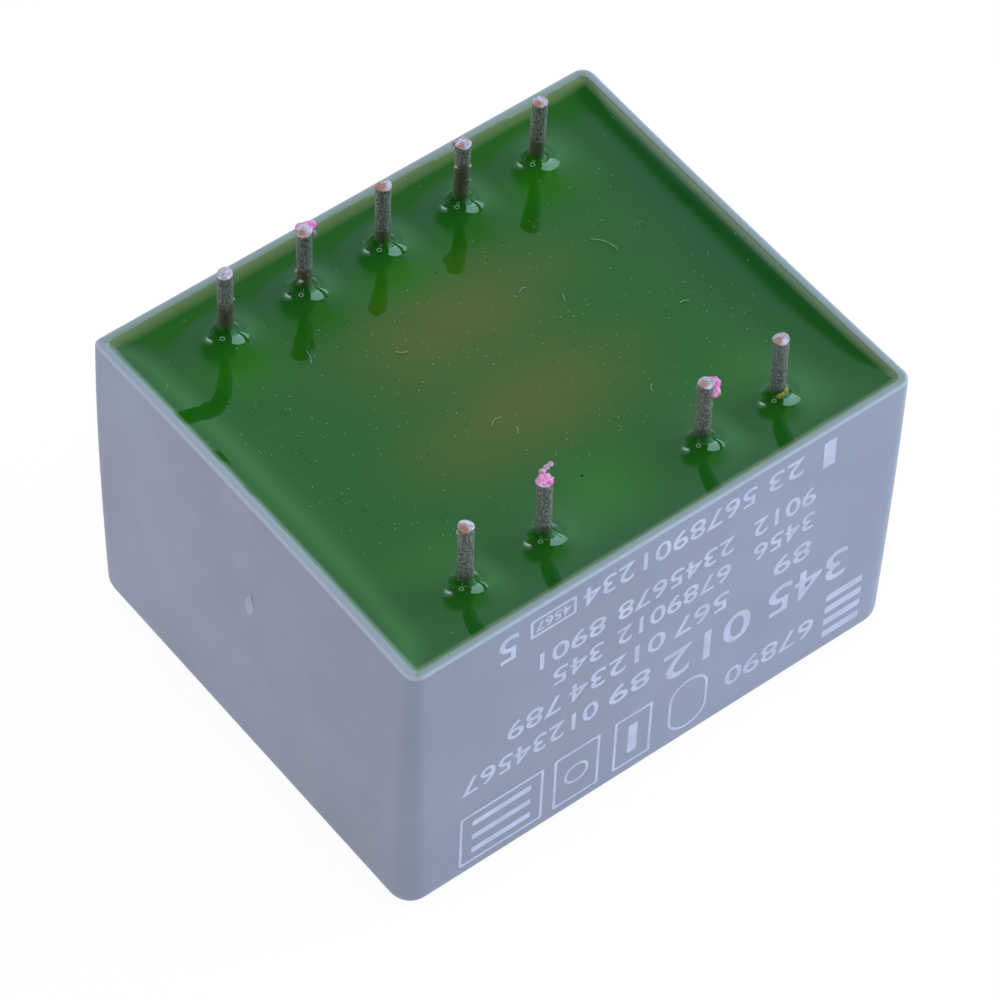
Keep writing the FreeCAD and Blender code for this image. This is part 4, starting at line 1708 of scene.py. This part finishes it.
FIBRES = (
    Fibre(9.5, 3.55, 1.5, -62, 0.22),
    Fibre(-3.28, 4.05, 0.6, -35, -0.1),
    Fibre(-2.2, -2.45, 0.75, 15, 0.16),
    Fibre(-1.7, -3.5, 0.45, 60, -0.03),
    Fibre(15.15, -3.7, 1.6, -82, 0.12),
    Fibre(3.35, 9.3, 0.65, 58, 0.04),
    Fibre(10.4, -2.0, 0.5, -20, 0.12),
    Fibre(-7.3, 6.55, 0.8, 70, -0.1),
    Fibre(5.5, -5.45, 0.5, 50, 0.1),
    Fibre(5.6, 1.9, 0.45, 65, 0.03),
    Fibre(4.2, 3.6, 0.5, 10, 0.1),
    Fibre(14.3, 9.5, 0.5, 40, 0.04),
    Fibre(-1.4, 9.1, 0.5, 80, -0.06),
)


@dataclass
class SettledDust:
    """Grains and fibres that set in the resin or lie on it."""

    level: float
    inset: float = 1.3 * MM
    fibre_radius: float = 0.013 * MM
    fibre_lift: float = 0.02 * MM

    def build(self, case: MouldedCase) -> list[Piece]:
        """Makes the pale grains, the dark grit and the fibres.

        Args:
            case: The case, whose walls bound the dust.

        Returns:
            The pieces.
        """
        half_x = case.high.x - case.rim_wall - self.inset
        half_y = case.high.y - case.rim_wall - self.inset
        field_mesh = bpy.data.meshes.new("dust_field")
        corners = [(-half_x, -half_y), (half_x, -half_y), (half_x, half_y), (-half_x, half_y)]
        field_mesh.from_pydata([(x, y, self.level) for x, y in corners], [], [(0, 1, 2, 3)])
        pale = {"Density": 1.3e6, "Smallest": 0.006 * MM, "Largest": 0.02 * MM, "Stretch": 1.8, "Seed": 3}
        dark = {"Density": 6.0e3, "Smallest": 0.03 * MM, "Largest": 0.055 * MM, "Stretch": 1.1, "Seed": 5}
        made = [
            DustPattern(DUST_FINISH).build("pale_dust", field_mesh, pale),
            DustPattern(DARK_DUST_FINISH).build("dark_grit", field_mesh.copy(), dark),
            self.fibres(),
        ]
        for piece in made:
            settle(piece)
        return made

    def fibres(self) -> Piece:
        """The larger fibres, each a thin bent strand.

        Returns:
            One piece with all of them.
        """
        curve = bpy.data.curves.new("fibres", "CURVE")
        curve.dimensions = "3D"
        curve.bevel_depth = self.fibre_radius
        curve.bevel_resolution = 1
        curve.use_fill_caps = True
        for fibre in FIBRES:
            spline = curve.splines.new("NURBS")
            spline.points.add(3)
            turn = math.radians(fibre.heading)
            ahead = Vector((math.cos(turn), math.sin(turn), 0))
            side = Vector((-ahead.y, ahead.x, 0))
            middle = Vector((fibre.x * MM, fibre.y * MM, self.level + self.fibre_lift))
            for point, share in zip(spline.points, (-0.5, -0.2, 0.2, 0.5)):
                bend = fibre.bend * (1 - (2 * share) ** 2)
                place = middle + (ahead * fibre.length * share + side * bend) * MM
                point.co = (*place, 1.0)
            spline.order_u = 3
            spline.use_endpoint_u = True
        mesh = plain_mesh(bpy.data.objects.new("fibres_curve", curve))
        mesh.materials.clear()
        mesh.materials.append(DUST_FINISH.make())
        return new_piece("fibres", mesh)


class Mark(Enum):
    """The plain marks that the print is made of."""

    BAR = 1
    FRAME = 2
    RING = 3


@dataclass(frozen=True)
class PrintMark:
    """One printed mark on the near face: its middle and its size, in millimetres."""

    kind: Mark
    x: float
    z: float
    width: float
    height: float


@dataclass(frozen=True)
class PrintLine:
    """A line of plain numbers: its middle height, the digits' height and where each number runs."""

    z: float
    height: float
    spans: tuple[Point2, ...]


PRINT_LINES = (
    PrintLine(18.15, 2.0, ((-10.5, -9.3), (10.3, 11.1))),
    PrintLine(18.5, 1.4, ((-5.2, -2.0), (-1.4, 5.9), (6.7, 9.0))),
    PrintLine(18.5, 0.7, ((-8.2, -6.0),)),
    PrintLine(15.5, 1.35, ((-7.9, -3.7), (-2.9, 4.6), (5.85, 10.0))),
    PrintLine(13.4, 1.35, ((-7.0, -3.8), (-2.9, 4.5), (6.0, 10.0))),
    PrintLine(11.05, 1.45, ((-9.85, -6.4), (-5.9, 0.35), (0.9, 4.5), (7.5, 10.0))),
    PrintLine(8.55, 1.45, ((-12.65, -3.9), (-3.2, -0.5))),
    PrintLine(8.0, 2.4, ((0.4, 6.2), (7.4, 12.7))),
    PrintLine(3.7, 1.5, ((4.8, 10.8),)),
)
PRINT_MARKS = (
    PrintMark(Mark.FRAME, -7.1, 18.5, 2.9, 1.4),
    PrintMark(Mark.FRAME, -10.0, 3.75, 5.4, 4.3),
    *(PrintMark(Mark.BAR, -10.0, 2.55 + 1.2 * step, 3.8, 0.45) for step in range(3)),
    PrintMark(Mark.FRAME, -5.1, 3.75, 3.0, 4.3),
    PrintMark(Mark.RING, -5.1, 3.75, 1.6, 1.6),
    PrintMark(Mark.FRAME, -1.4, 3.75, 2.5, 4.3),
    PrintMark(Mark.BAR, -1.4, 3.75, 0.6, 2.4),
    PrintMark(Mark.RING, 2.3, 3.75, 2.6, 4.2),
    *(PrintMark(Mark.BAR, 12.8, 2.15 + 1.05 * step, 2.5, 0.55) for step in range(4)),
)


@dataclass
class PadPrint:
    """Generic print on the near face: pin numbers, counting digits and plain shapes."""

    case: MouldedCase
    proud: float = 0.004 * MM
    thickness: float = 0.012 * MM
    corner: float = 0.12
    line: float = 0.17
    digit_pitch: float = 0.8
    ring_steps: int = 12
    corner_steps: int = 3
    most_rounding: float = 0.45
    letter_size: float = 1.4
    letter_growth: float = 0.012
    curve_steps: int = 4

    def build(self) -> list[Piece]:
        """Makes the shapes and the numbers.

        Returns:
            The pieces.
        """
        made = [self.marks(), self.numbers()]
        for piece in made:
            piece.data.materials.append(INK_FINISH.make())
            settle(piece)
        return made

    def marks(self) -> Piece:
        """All shapes as one thin piece.

        Returns:
            The piece.
        """
        bm = bmesh.new()
        for mark in PRINT_MARKS:
            outline = self.outline(mark)
            if mark.kind is Mark.BAR:
                self.slab(bm, outline)
            else:
                width, height = mark.width - 2 * self.line, mark.height - 2 * self.line
                self.band(bm, outline, self.outline(PrintMark(mark.kind, mark.x, mark.z, width, height)))
        return new_piece("print_shapes", mesh_from(bm, "print_shapes"))

    def outline(self, mark: PrintMark) -> list[Point2]:
        """The mark's outline, as points on the face.

        Args:
            mark: The mark.

        Returns:
            Points in millimetres, anticlockwise seen from outside.
        """
        half_w, half_h = mark.width / 2, mark.height / 2
        radius = min(half_w, half_h)
        if mark.kind is not Mark.RING:
            radius = min(self.corner, self.most_rounding * radius)
        steps = self.ring_steps if mark.kind is Mark.RING else self.corner_steps
        points = []
        for sign_x, sign_z, start in CORNERS:
            for step in range(steps + 1):
                turn = math.radians(start + 90 * step / steps)
                x = mark.x + sign_x * (half_w - radius) + radius * math.cos(turn)
                z = mark.z + sign_z * (half_h - radius) + radius * math.sin(turn)
                points.append((x, z))
        return points

    def on_face(self, point: Point2, out: float) -> Vector:
        """A point of the print on the drafted face.

        Args:
            point: Its place across and up, in millimetres.
            out: How far it stands out of the face, in metres.

        Returns:
            The point in space.
        """
        x, z = point[0] * MM, point[1] * MM
        drafted = (self.case.high.z - z) * math.tan(self.case.draft)
        face = Vector((x, -self.case.high.y + drafted, z))
        return face + Vector((0, self.case.lean_in(face).y - out, 0))

    def slab(self, bm: bmesh.types.BMesh, outline: list[Point2]) -> None:
        """Adds a thin solid plate.

        Args:
            bm: The mesh that takes it.
            outline: Its outline, as points on the face.
        """
        front = [bm.verts.new(self.on_face(point, self.proud)) for point in outline]
        back = [bm.verts.new(self.on_face(point, self.proud - self.thickness)) for point in outline]
        bm.faces.new(front)
        bm.faces.new(back[::-1])
        for i in range(len(outline)):
            j = (i + 1) % len(outline)
            bm.faces.new((front[j], front[i], back[i], back[j]))

    def band(self, bm: bmesh.types.BMesh, outline: list[Point2], hole: list[Point2]) -> None:
        """Adds a thin solid band between an outline and a hole.

        Args:
            bm: The mesh that takes it.
            outline: Its outer edge, as points on the face.
            hole: Its inner edge, of as many points.
        """
        loops = []
        for points in (outline, hole):
            for out in (self.proud, self.proud - self.thickness):
                loops.append([bm.verts.new(self.on_face(point, out)) for point in points])
        front, back, front_in, back_in = loops
        for i in range(len(outline)):
            j = (i + 1) % len(outline)
            bm.faces.new((front[i], front[j], front_in[j], front_in[i]))
            bm.faces.new((back[j], back[i], back_in[i], back_in[j]))
            bm.faces.new((front[j], front[i], back[i], back[j]))
            bm.faces.new((front_in[i], front_in[j], back_in[j], back_in[i]))

    def numbers(self) -> Piece:
        """The pin numbers and every line of counting digits, as one piece.

        Returns:
            The piece, printed to be read from the pin side.
        """
        bm = bmesh.new()
        count = 0
        for line in PRINT_LINES:
            for span in line.spans:
                length = max(1, round((span[1] - span[0]) / (self.digit_pitch * line.height)))
                digits = "".join(str((count + step) % 10) for step in range(length))
                count += length
                if line is PRINT_LINES[0]:
                    digits = "5" if span[0] < 0 else "1"
                self.number(bm, digits, span, line)
        return new_piece("print_numbers", mesh_from(bm, "print_numbers"))

    def number(self, bm: bmesh.types.BMesh, digits: str, span: Point2, line: PrintLine) -> None:
        """Adds one number, fitted to its span and turned upside down.

        Args:
            bm: The mesh that takes it.
            digits: The number.
            span: Where it begins and ends, in millimetres.
            line: The line that it stands on.
        """
        text = bpy.data.curves.new("digits", "FONT")
        text.body = digits
        text.size = line.height * self.letter_size
        text.offset = self.letter_growth * line.height
        text.extrude = 1.0
        text.resolution_u = self.curve_steps
        mesh = plain_mesh(bpy.data.objects.new("digits", text))
        across = sorted(vert.co.x for vert in mesh.vertices)
        up = sorted(vert.co.y for vert in mesh.vertices)
        stretch = (span[1] - span[0]) / (across[-1] - across[0])
        for vert in mesh.vertices:
            x = span[1] - (vert.co.x - across[0]) * stretch
            z = line.z + line.height * (0.5 - (vert.co.y - up[0]) / (up[-1] - up[0]))
            out = self.proud if vert.co.z > 0 else self.proud - self.thickness
            vert.co = self.on_face((x, z), out)
        mesh.materials.clear()
        bm.from_mesh(mesh)


@dataclass
class ScuffMark:
    """The small raised scuff in the middle of the left face."""

    case: MouldedCase
    y: float = -0.2 * MM
    z: float = 12.6 * MM
    half_width: float = 0.34 * MM
    half_height: float = 0.85 * MM
    height: float = 0.09 * MM
    subdivisions: int = 5
    grain: float = 2.3
    ragged: float = 0.5
    ridge_fall: float = 0.35
    taper: float = 0.5
    slant: float = 0.25

    def build(self) -> Piece:
        """Makes the scuff as a low, ragged leaf.

        Returns:
            The piece.
        """
        bm = bmesh.new()
        bmesh.ops.create_icosphere(bm, subdivisions=self.subdivisions, radius=1.0)
        wall = -self.case.high.x + (self.case.high.z - self.z) * math.tan(self.case.draft)
        wall = self.case.bowed(Vector((wall, self.y, self.z))).x
        for vert in bm.verts:
            rough = noise.fractal(vert.co * self.grain, 0.8, 2.0, 4)
            ridge = 1 - self.ridge_fall * abs(vert.co.y)
            out = vert.co.x * (1 + self.ragged * rough) * ridge
            slant = self.slant * vert.co.z * self.half_width
            narrowed = 1 - self.taper * max(0.0, vert.co.z)
            vert.co = Vector((
                wall + out * self.height,
                self.y + vert.co.y * self.half_width * narrowed - slant,
                self.z + vert.co.z * self.half_height,
            ))
        for face in bm.faces:
            face.smooth = True
        mesh = mesh_from(bm, "scuff_mark")
        mesh.materials.append(Finish("scuffed_plastic", (0.42, 0.44, 0.55), roughness=0.5).make())
        piece = new_piece("scuff_mark", mesh)
        settle(piece)
        return piece


@dataclass
class WoundCore:
    """The sealed inner pieces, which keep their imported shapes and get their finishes."""

    def dress(self) -> int:
        """Gives each inner piece its finish.

        Returns:
            How many pieces were dressed.
        """
        dressed = 0
        for name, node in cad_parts.items():
            finish = INNER_FINISHES.get(name, SLEEVE_FINISH if "_wire_" in name else None)
            if finish is None:
                continue
            node.data.materials.clear()
            node.data.materials.append(finish.make())
            dressed += 1
        return dressed


def toward(azimuth: float, elevation: float) -> Vector:
    """The direction from the object at an azimuth and an elevation, in degrees."""
    turn, climb = math.radians(azimuth), math.radians(elevation)
    return Vector((math.sin(turn) * math.cos(climb), -math.cos(turn) * math.cos(climb), math.sin(climb)))


@dataclass(frozen=True)
class Glow:
    """Something bright that mirrors show: a flat panel or a ring, by its direction and half sizes."""

    azimuth: float
    elevation: float
    half_width: float
    half_height: float
    softness: float
    colour: Colour
    ring: bool = False
    front_from: ClassVar[float] = 0.02

    def mask(self, desk: NodeDesk, direction: Feed) -> Socket:
        """Where the thing is seen.

        Args:
            desk: The world's nodes.
            direction: The direction that is looked in.

        Returns:
            1 inside it and 0 outside.
        """
        ahead = toward(self.azimuth, self.elevation)
        level = Vector((0, 0, 1)).cross(-ahead).normalized()
        upright = ahead.cross(level) * -1
        depth = desk.vector("DOT_PRODUCT", direction, ahead)
        front = desk.calc("GREATER_THAN", depth, self.front_from)
        across = desk.calc("DIVIDE", desk.vector("DOT_PRODUCT", direction, level), depth)
        height = desk.calc("DIVIDE", desk.vector("DOT_PRODUCT", direction, upright), depth)
        if self.ring:
            x = desk.calc("DIVIDE", across, self.half_width)
            y = desk.calc("DIVIDE", height, self.half_height)
            squares = [desk.calc("POWER", share, 2.0) for share in (x, y)]
            radius = desk.calc("SQRT", desk.calc("ADD", *squares))
            off_ring = desk.calc("ABSOLUTE", desk.calc("SUBTRACT", radius, 1.0))
            mask = desk.fade(off_ring, self.softness, 0.0)
        else:
            sides = []
            for part, half in ((across, self.half_width), (height, self.half_height)):
                sides.append(desk.fade(desk.calc("ABSOLUTE", part), half, half - self.softness))
            mask = desk.calc("MULTIPLY", *sides)
        return desk.calc("MULTIPLY", mask, front)


GLOWS = (
    Glow(-168.0, 2.0, 0.6, 0.4, 0.3, (0.2, 0.3, 0.3)),
    Glow(105.0, 65.0, 0.44, 0.24, 0.2, (0.34, 0.75, 0.31)),
    Glow(116.0, 38.0, 0.5, 0.3, 0.3, (0.95, 1.6, 1.3)),
    Glow(136.0, 4.0, 0.2, 0.24, 0.14, (1.9, 2.5, 3.0)),
    Glow(62.0, 23.0, 0.92, 0.64, 0.08, (2.9, 4.5, 4.9)),
    Glow(-154.0, 46.0, 0.42, 0.3, 0.34, (1.7, 2.3, 2.4)),
    Glow(-154.0, 43.0, 0.3, 0.13, 0.2, (10.0, 12.0, 12.5)),
    Glow(-65.0, 12.0, 0.36, 0.17, 0.36, (4.4, 6.0, 5.2), ring=True),
)


@dataclass
class Studio:
    """A white floor, soft light and the photograph's point of view."""

    azimuth: float = -39.834
    elevation: float = 52.0
    roll: float = 2.4748
    distance: float = 282.812 * MM
    lens: float = 196.31
    aim: Point3 = (0.1984 * MM, -2.0364 * MM, 12.0 * MM)
    principal: Point2 = (501.14, 500.23)
    image_side: float = 1000.0
    sensor: float = 36.0
    ambient: Colour = (0.573, 0.582, 0.607)
    # What mirrors show behind the glows: pale towards the haze and dark away from it.
    haze_azimuth: float = 140.0
    haze_span: Point2 = (0.38, 0.53)
    haze_dark: Colour = (0.09, 0.12, 0.11)
    haze_light: Colour = (0.62, 0.82, 0.9)
    floor_side: float = 3.0
    floor_height: float = -0.02 * MM
    floor_white: float = 0.9
    floor_glow: float = 1.03
    floor_glow_share: float = 0.9
    lamp_aim: float = 15 * MM

    def build(self) -> None:
        """Sets the camera, the lamps, the world and the floor."""
        self.camera()
        self.world()
        self.floor()
        self.lamps()
        bpy.context.scene.view_settings.view_transform = "Standard"

    def camera(self) -> None:
        """Places the camera where the photograph was taken from."""
        roll = math.radians(self.roll)
        back = toward(self.azimuth, self.elevation)
        level = Vector((0, 0, 1)).cross(back).normalized()
        upright = back.cross(level)
        right = level * math.cos(roll) + upright * math.sin(roll)
        up = upright * math.cos(roll) - level * math.sin(roll)
        place = Vector((0, 0, self.aim[2])) + back * self.distance + right * self.aim[0] + up * self.aim[1]
        lens = bpy.data.cameras.new("camera")
        lens.lens = self.lens
        lens.sensor_width = self.sensor
        lens.shift_x = (self.image_side / 2 - self.principal[0]) / self.image_side
        lens.shift_y = (self.principal[1] - self.image_side / 2) / self.image_side
        lens.clip_start, lens.clip_end = 0.01, 20.0
        camera = bpy.data.objects.new("camera", lens)
        axes = Matrix((right, up, back)).transposed().to_4x4()
        camera.matrix_world = Matrix.Translation(place) @ axes
        bpy.context.scene.collection.objects.link(camera)
        bpy.context.scene.camera = camera

    def world(self) -> None:
        """Soft ambient light, with a white background and a graded studio in reflections."""
        world = bpy.data.worlds.new("studio")
        world.use_nodes = True
        bpy.context.scene.world = world
        desk = NodeDesk(world.node_tree)
        background = world.node_tree.nodes["Background"]
        path = desk.add("ShaderNodeLightPath")
        direction = desk.add("ShaderNodeTexCoord").outputs["Generated"]
        away = desk.vector("DOT_PRODUCT", direction, toward(self.haze_azimuth, 0.0))
        pale = desk.fade(away, *self.haze_span)
        seen = desk.blend(pale, rgba(self.haze_dark), rgba(self.haze_light))
        for glow in GLOWS:
            seen = desk.blend(glow.mask(desk, direction), seen, rgba(glow.colour))
        mirrored = desk.blend(path.outputs["Is Glossy Ray"], rgba(self.ambient), seen)
        white = desk.calc("MAXIMUM", path.outputs["Is Camera Ray"], path.outputs["Is Transmission Ray"])
        desk.feed(background.inputs["Color"], desk.blend(white, mirrored, rgba((1.0, 1.0, 1.0))))

    def floor(self) -> None:
        """A white sweep that keeps a faint shadow."""
        mesh = bpy.data.meshes.new("floor")
        side, height = self.floor_side, self.floor_height
        corners = [(-side, -side), (side, -side), (side, side), (-side, side)]
        mesh.from_pydata([(x, y, height) for x, y in corners], [], [(0, 1, 2, 3)])
        material = bpy.data.materials.new("white_floor")
        material.use_nodes = True
        desk = NodeDesk(material.node_tree)
        shader = material.node_tree.nodes["Principled BSDF"]
        shader.inputs["Base Color"].default_value = rgba((self.floor_white,) * 3)
        shader.inputs["Roughness"].default_value = 0.9
        path = desk.add("ShaderNodeLightPath")
        feeds = {"Color": rgba((1.0, 1.0, 1.0)), "Strength": self.floor_glow}
        glow = desk.add("ShaderNodeEmission", feeds)
        direct = desk.calc("MAXIMUM", path.outputs["Is Camera Ray"], path.outputs["Is Glossy Ray"])
        direct = desk.calc("MAXIMUM", direct, path.outputs["Is Transmission Ray"])
        share = desk.calc("MULTIPLY", direct, self.floor_glow_share)
        mixed = desk.add("ShaderNodeMixShader", {0: share, 1: shader.outputs[0], 2: glow.outputs[0]})
        out = material.node_tree.nodes["Material Output"]
        desk.feed(out.inputs["Surface"], mixed.outputs[0])
        mesh.materials.append(material)
        new_piece("floor", mesh)

    def lamps(self) -> None:
        """A large soft box on the right, a small lamp behind on the left, and a soft light above."""
        self.lamp("right_box", 72.0, 24.0, 0.6, (0.42, 0.3), 2.7, (0.645, 0.789, 1.0))
        self.lamp("left_lamp", -145.0, 27.5, 0.6, (0.032, 0.02), 0.3, (0.95, 0.98, 1.0))
        self.lamp("top_box", -60.0, 72.0, 0.8, (0.5, 0.5), 1.3, (1.0, 0.99, 0.97))

    def lamp(
        self,
        name: str,
        azimuth: float,
        elevation: float,
        reach: float,
        size: Point2,
        power: float,
        colour: Colour,
    ) -> None:
        """Adds an area lamp that faces the object.

        Args:
            name: The lamp's name.
            azimuth: Its direction round the object, in degrees.
            elevation: Its height over the horizon, in degrees.
            reach: Its distance, in metres.
            size: Its width and height, in metres.
            power: Its power, in watts.
            colour: Its colour.
        """
        back = toward(azimuth, elevation)
        light = bpy.data.lights.new(name, "AREA")
        light.shape = "RECTANGLE"
        light.size, light.size_y = size
        light.energy = power
        light.color = colour
        lamp = bpy.data.objects.new(name, light)
        lamp.location = Vector((0, 0, self.lamp_aim)) + back * reach
        lamp.rotation_mode = "QUATERNION"
        lamp.rotation_quaternion = (-back).to_track_quat("-Z", "Y")
        lamp.visible_camera = False
        lamp.visible_glossy = False
        bpy.context.scene.collection.objects.link(lamp)


def main() -> None:
    """Builds the sub-assemblies in order and reports each piece."""
    logging.basicConfig(level=logging.INFO, format="%(message)s")
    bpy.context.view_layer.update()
    studio = Studio()
    studio.build()
    grid = PinGrid()
    case = MouldedCase()
    casting = ResinCasting(grid, case)
    pieces = [case.build(), casting.build()]
    pieces += ClippedPins(grid).build()
    pieces += Residues(grid).build()
    pieces += SettledDust(casting.level).build(case)
    pieces += PadPrint(case).build()
    pieces.append(ScuffMark(case).build())
    for piece in pieces:
        LOG.info("%s: %d faces", piece.name, len(piece.data.polygons))
    LOG.info("inner pieces dressed: %d", WoundCore().dress())


if __name__ == "__main__":
    main()
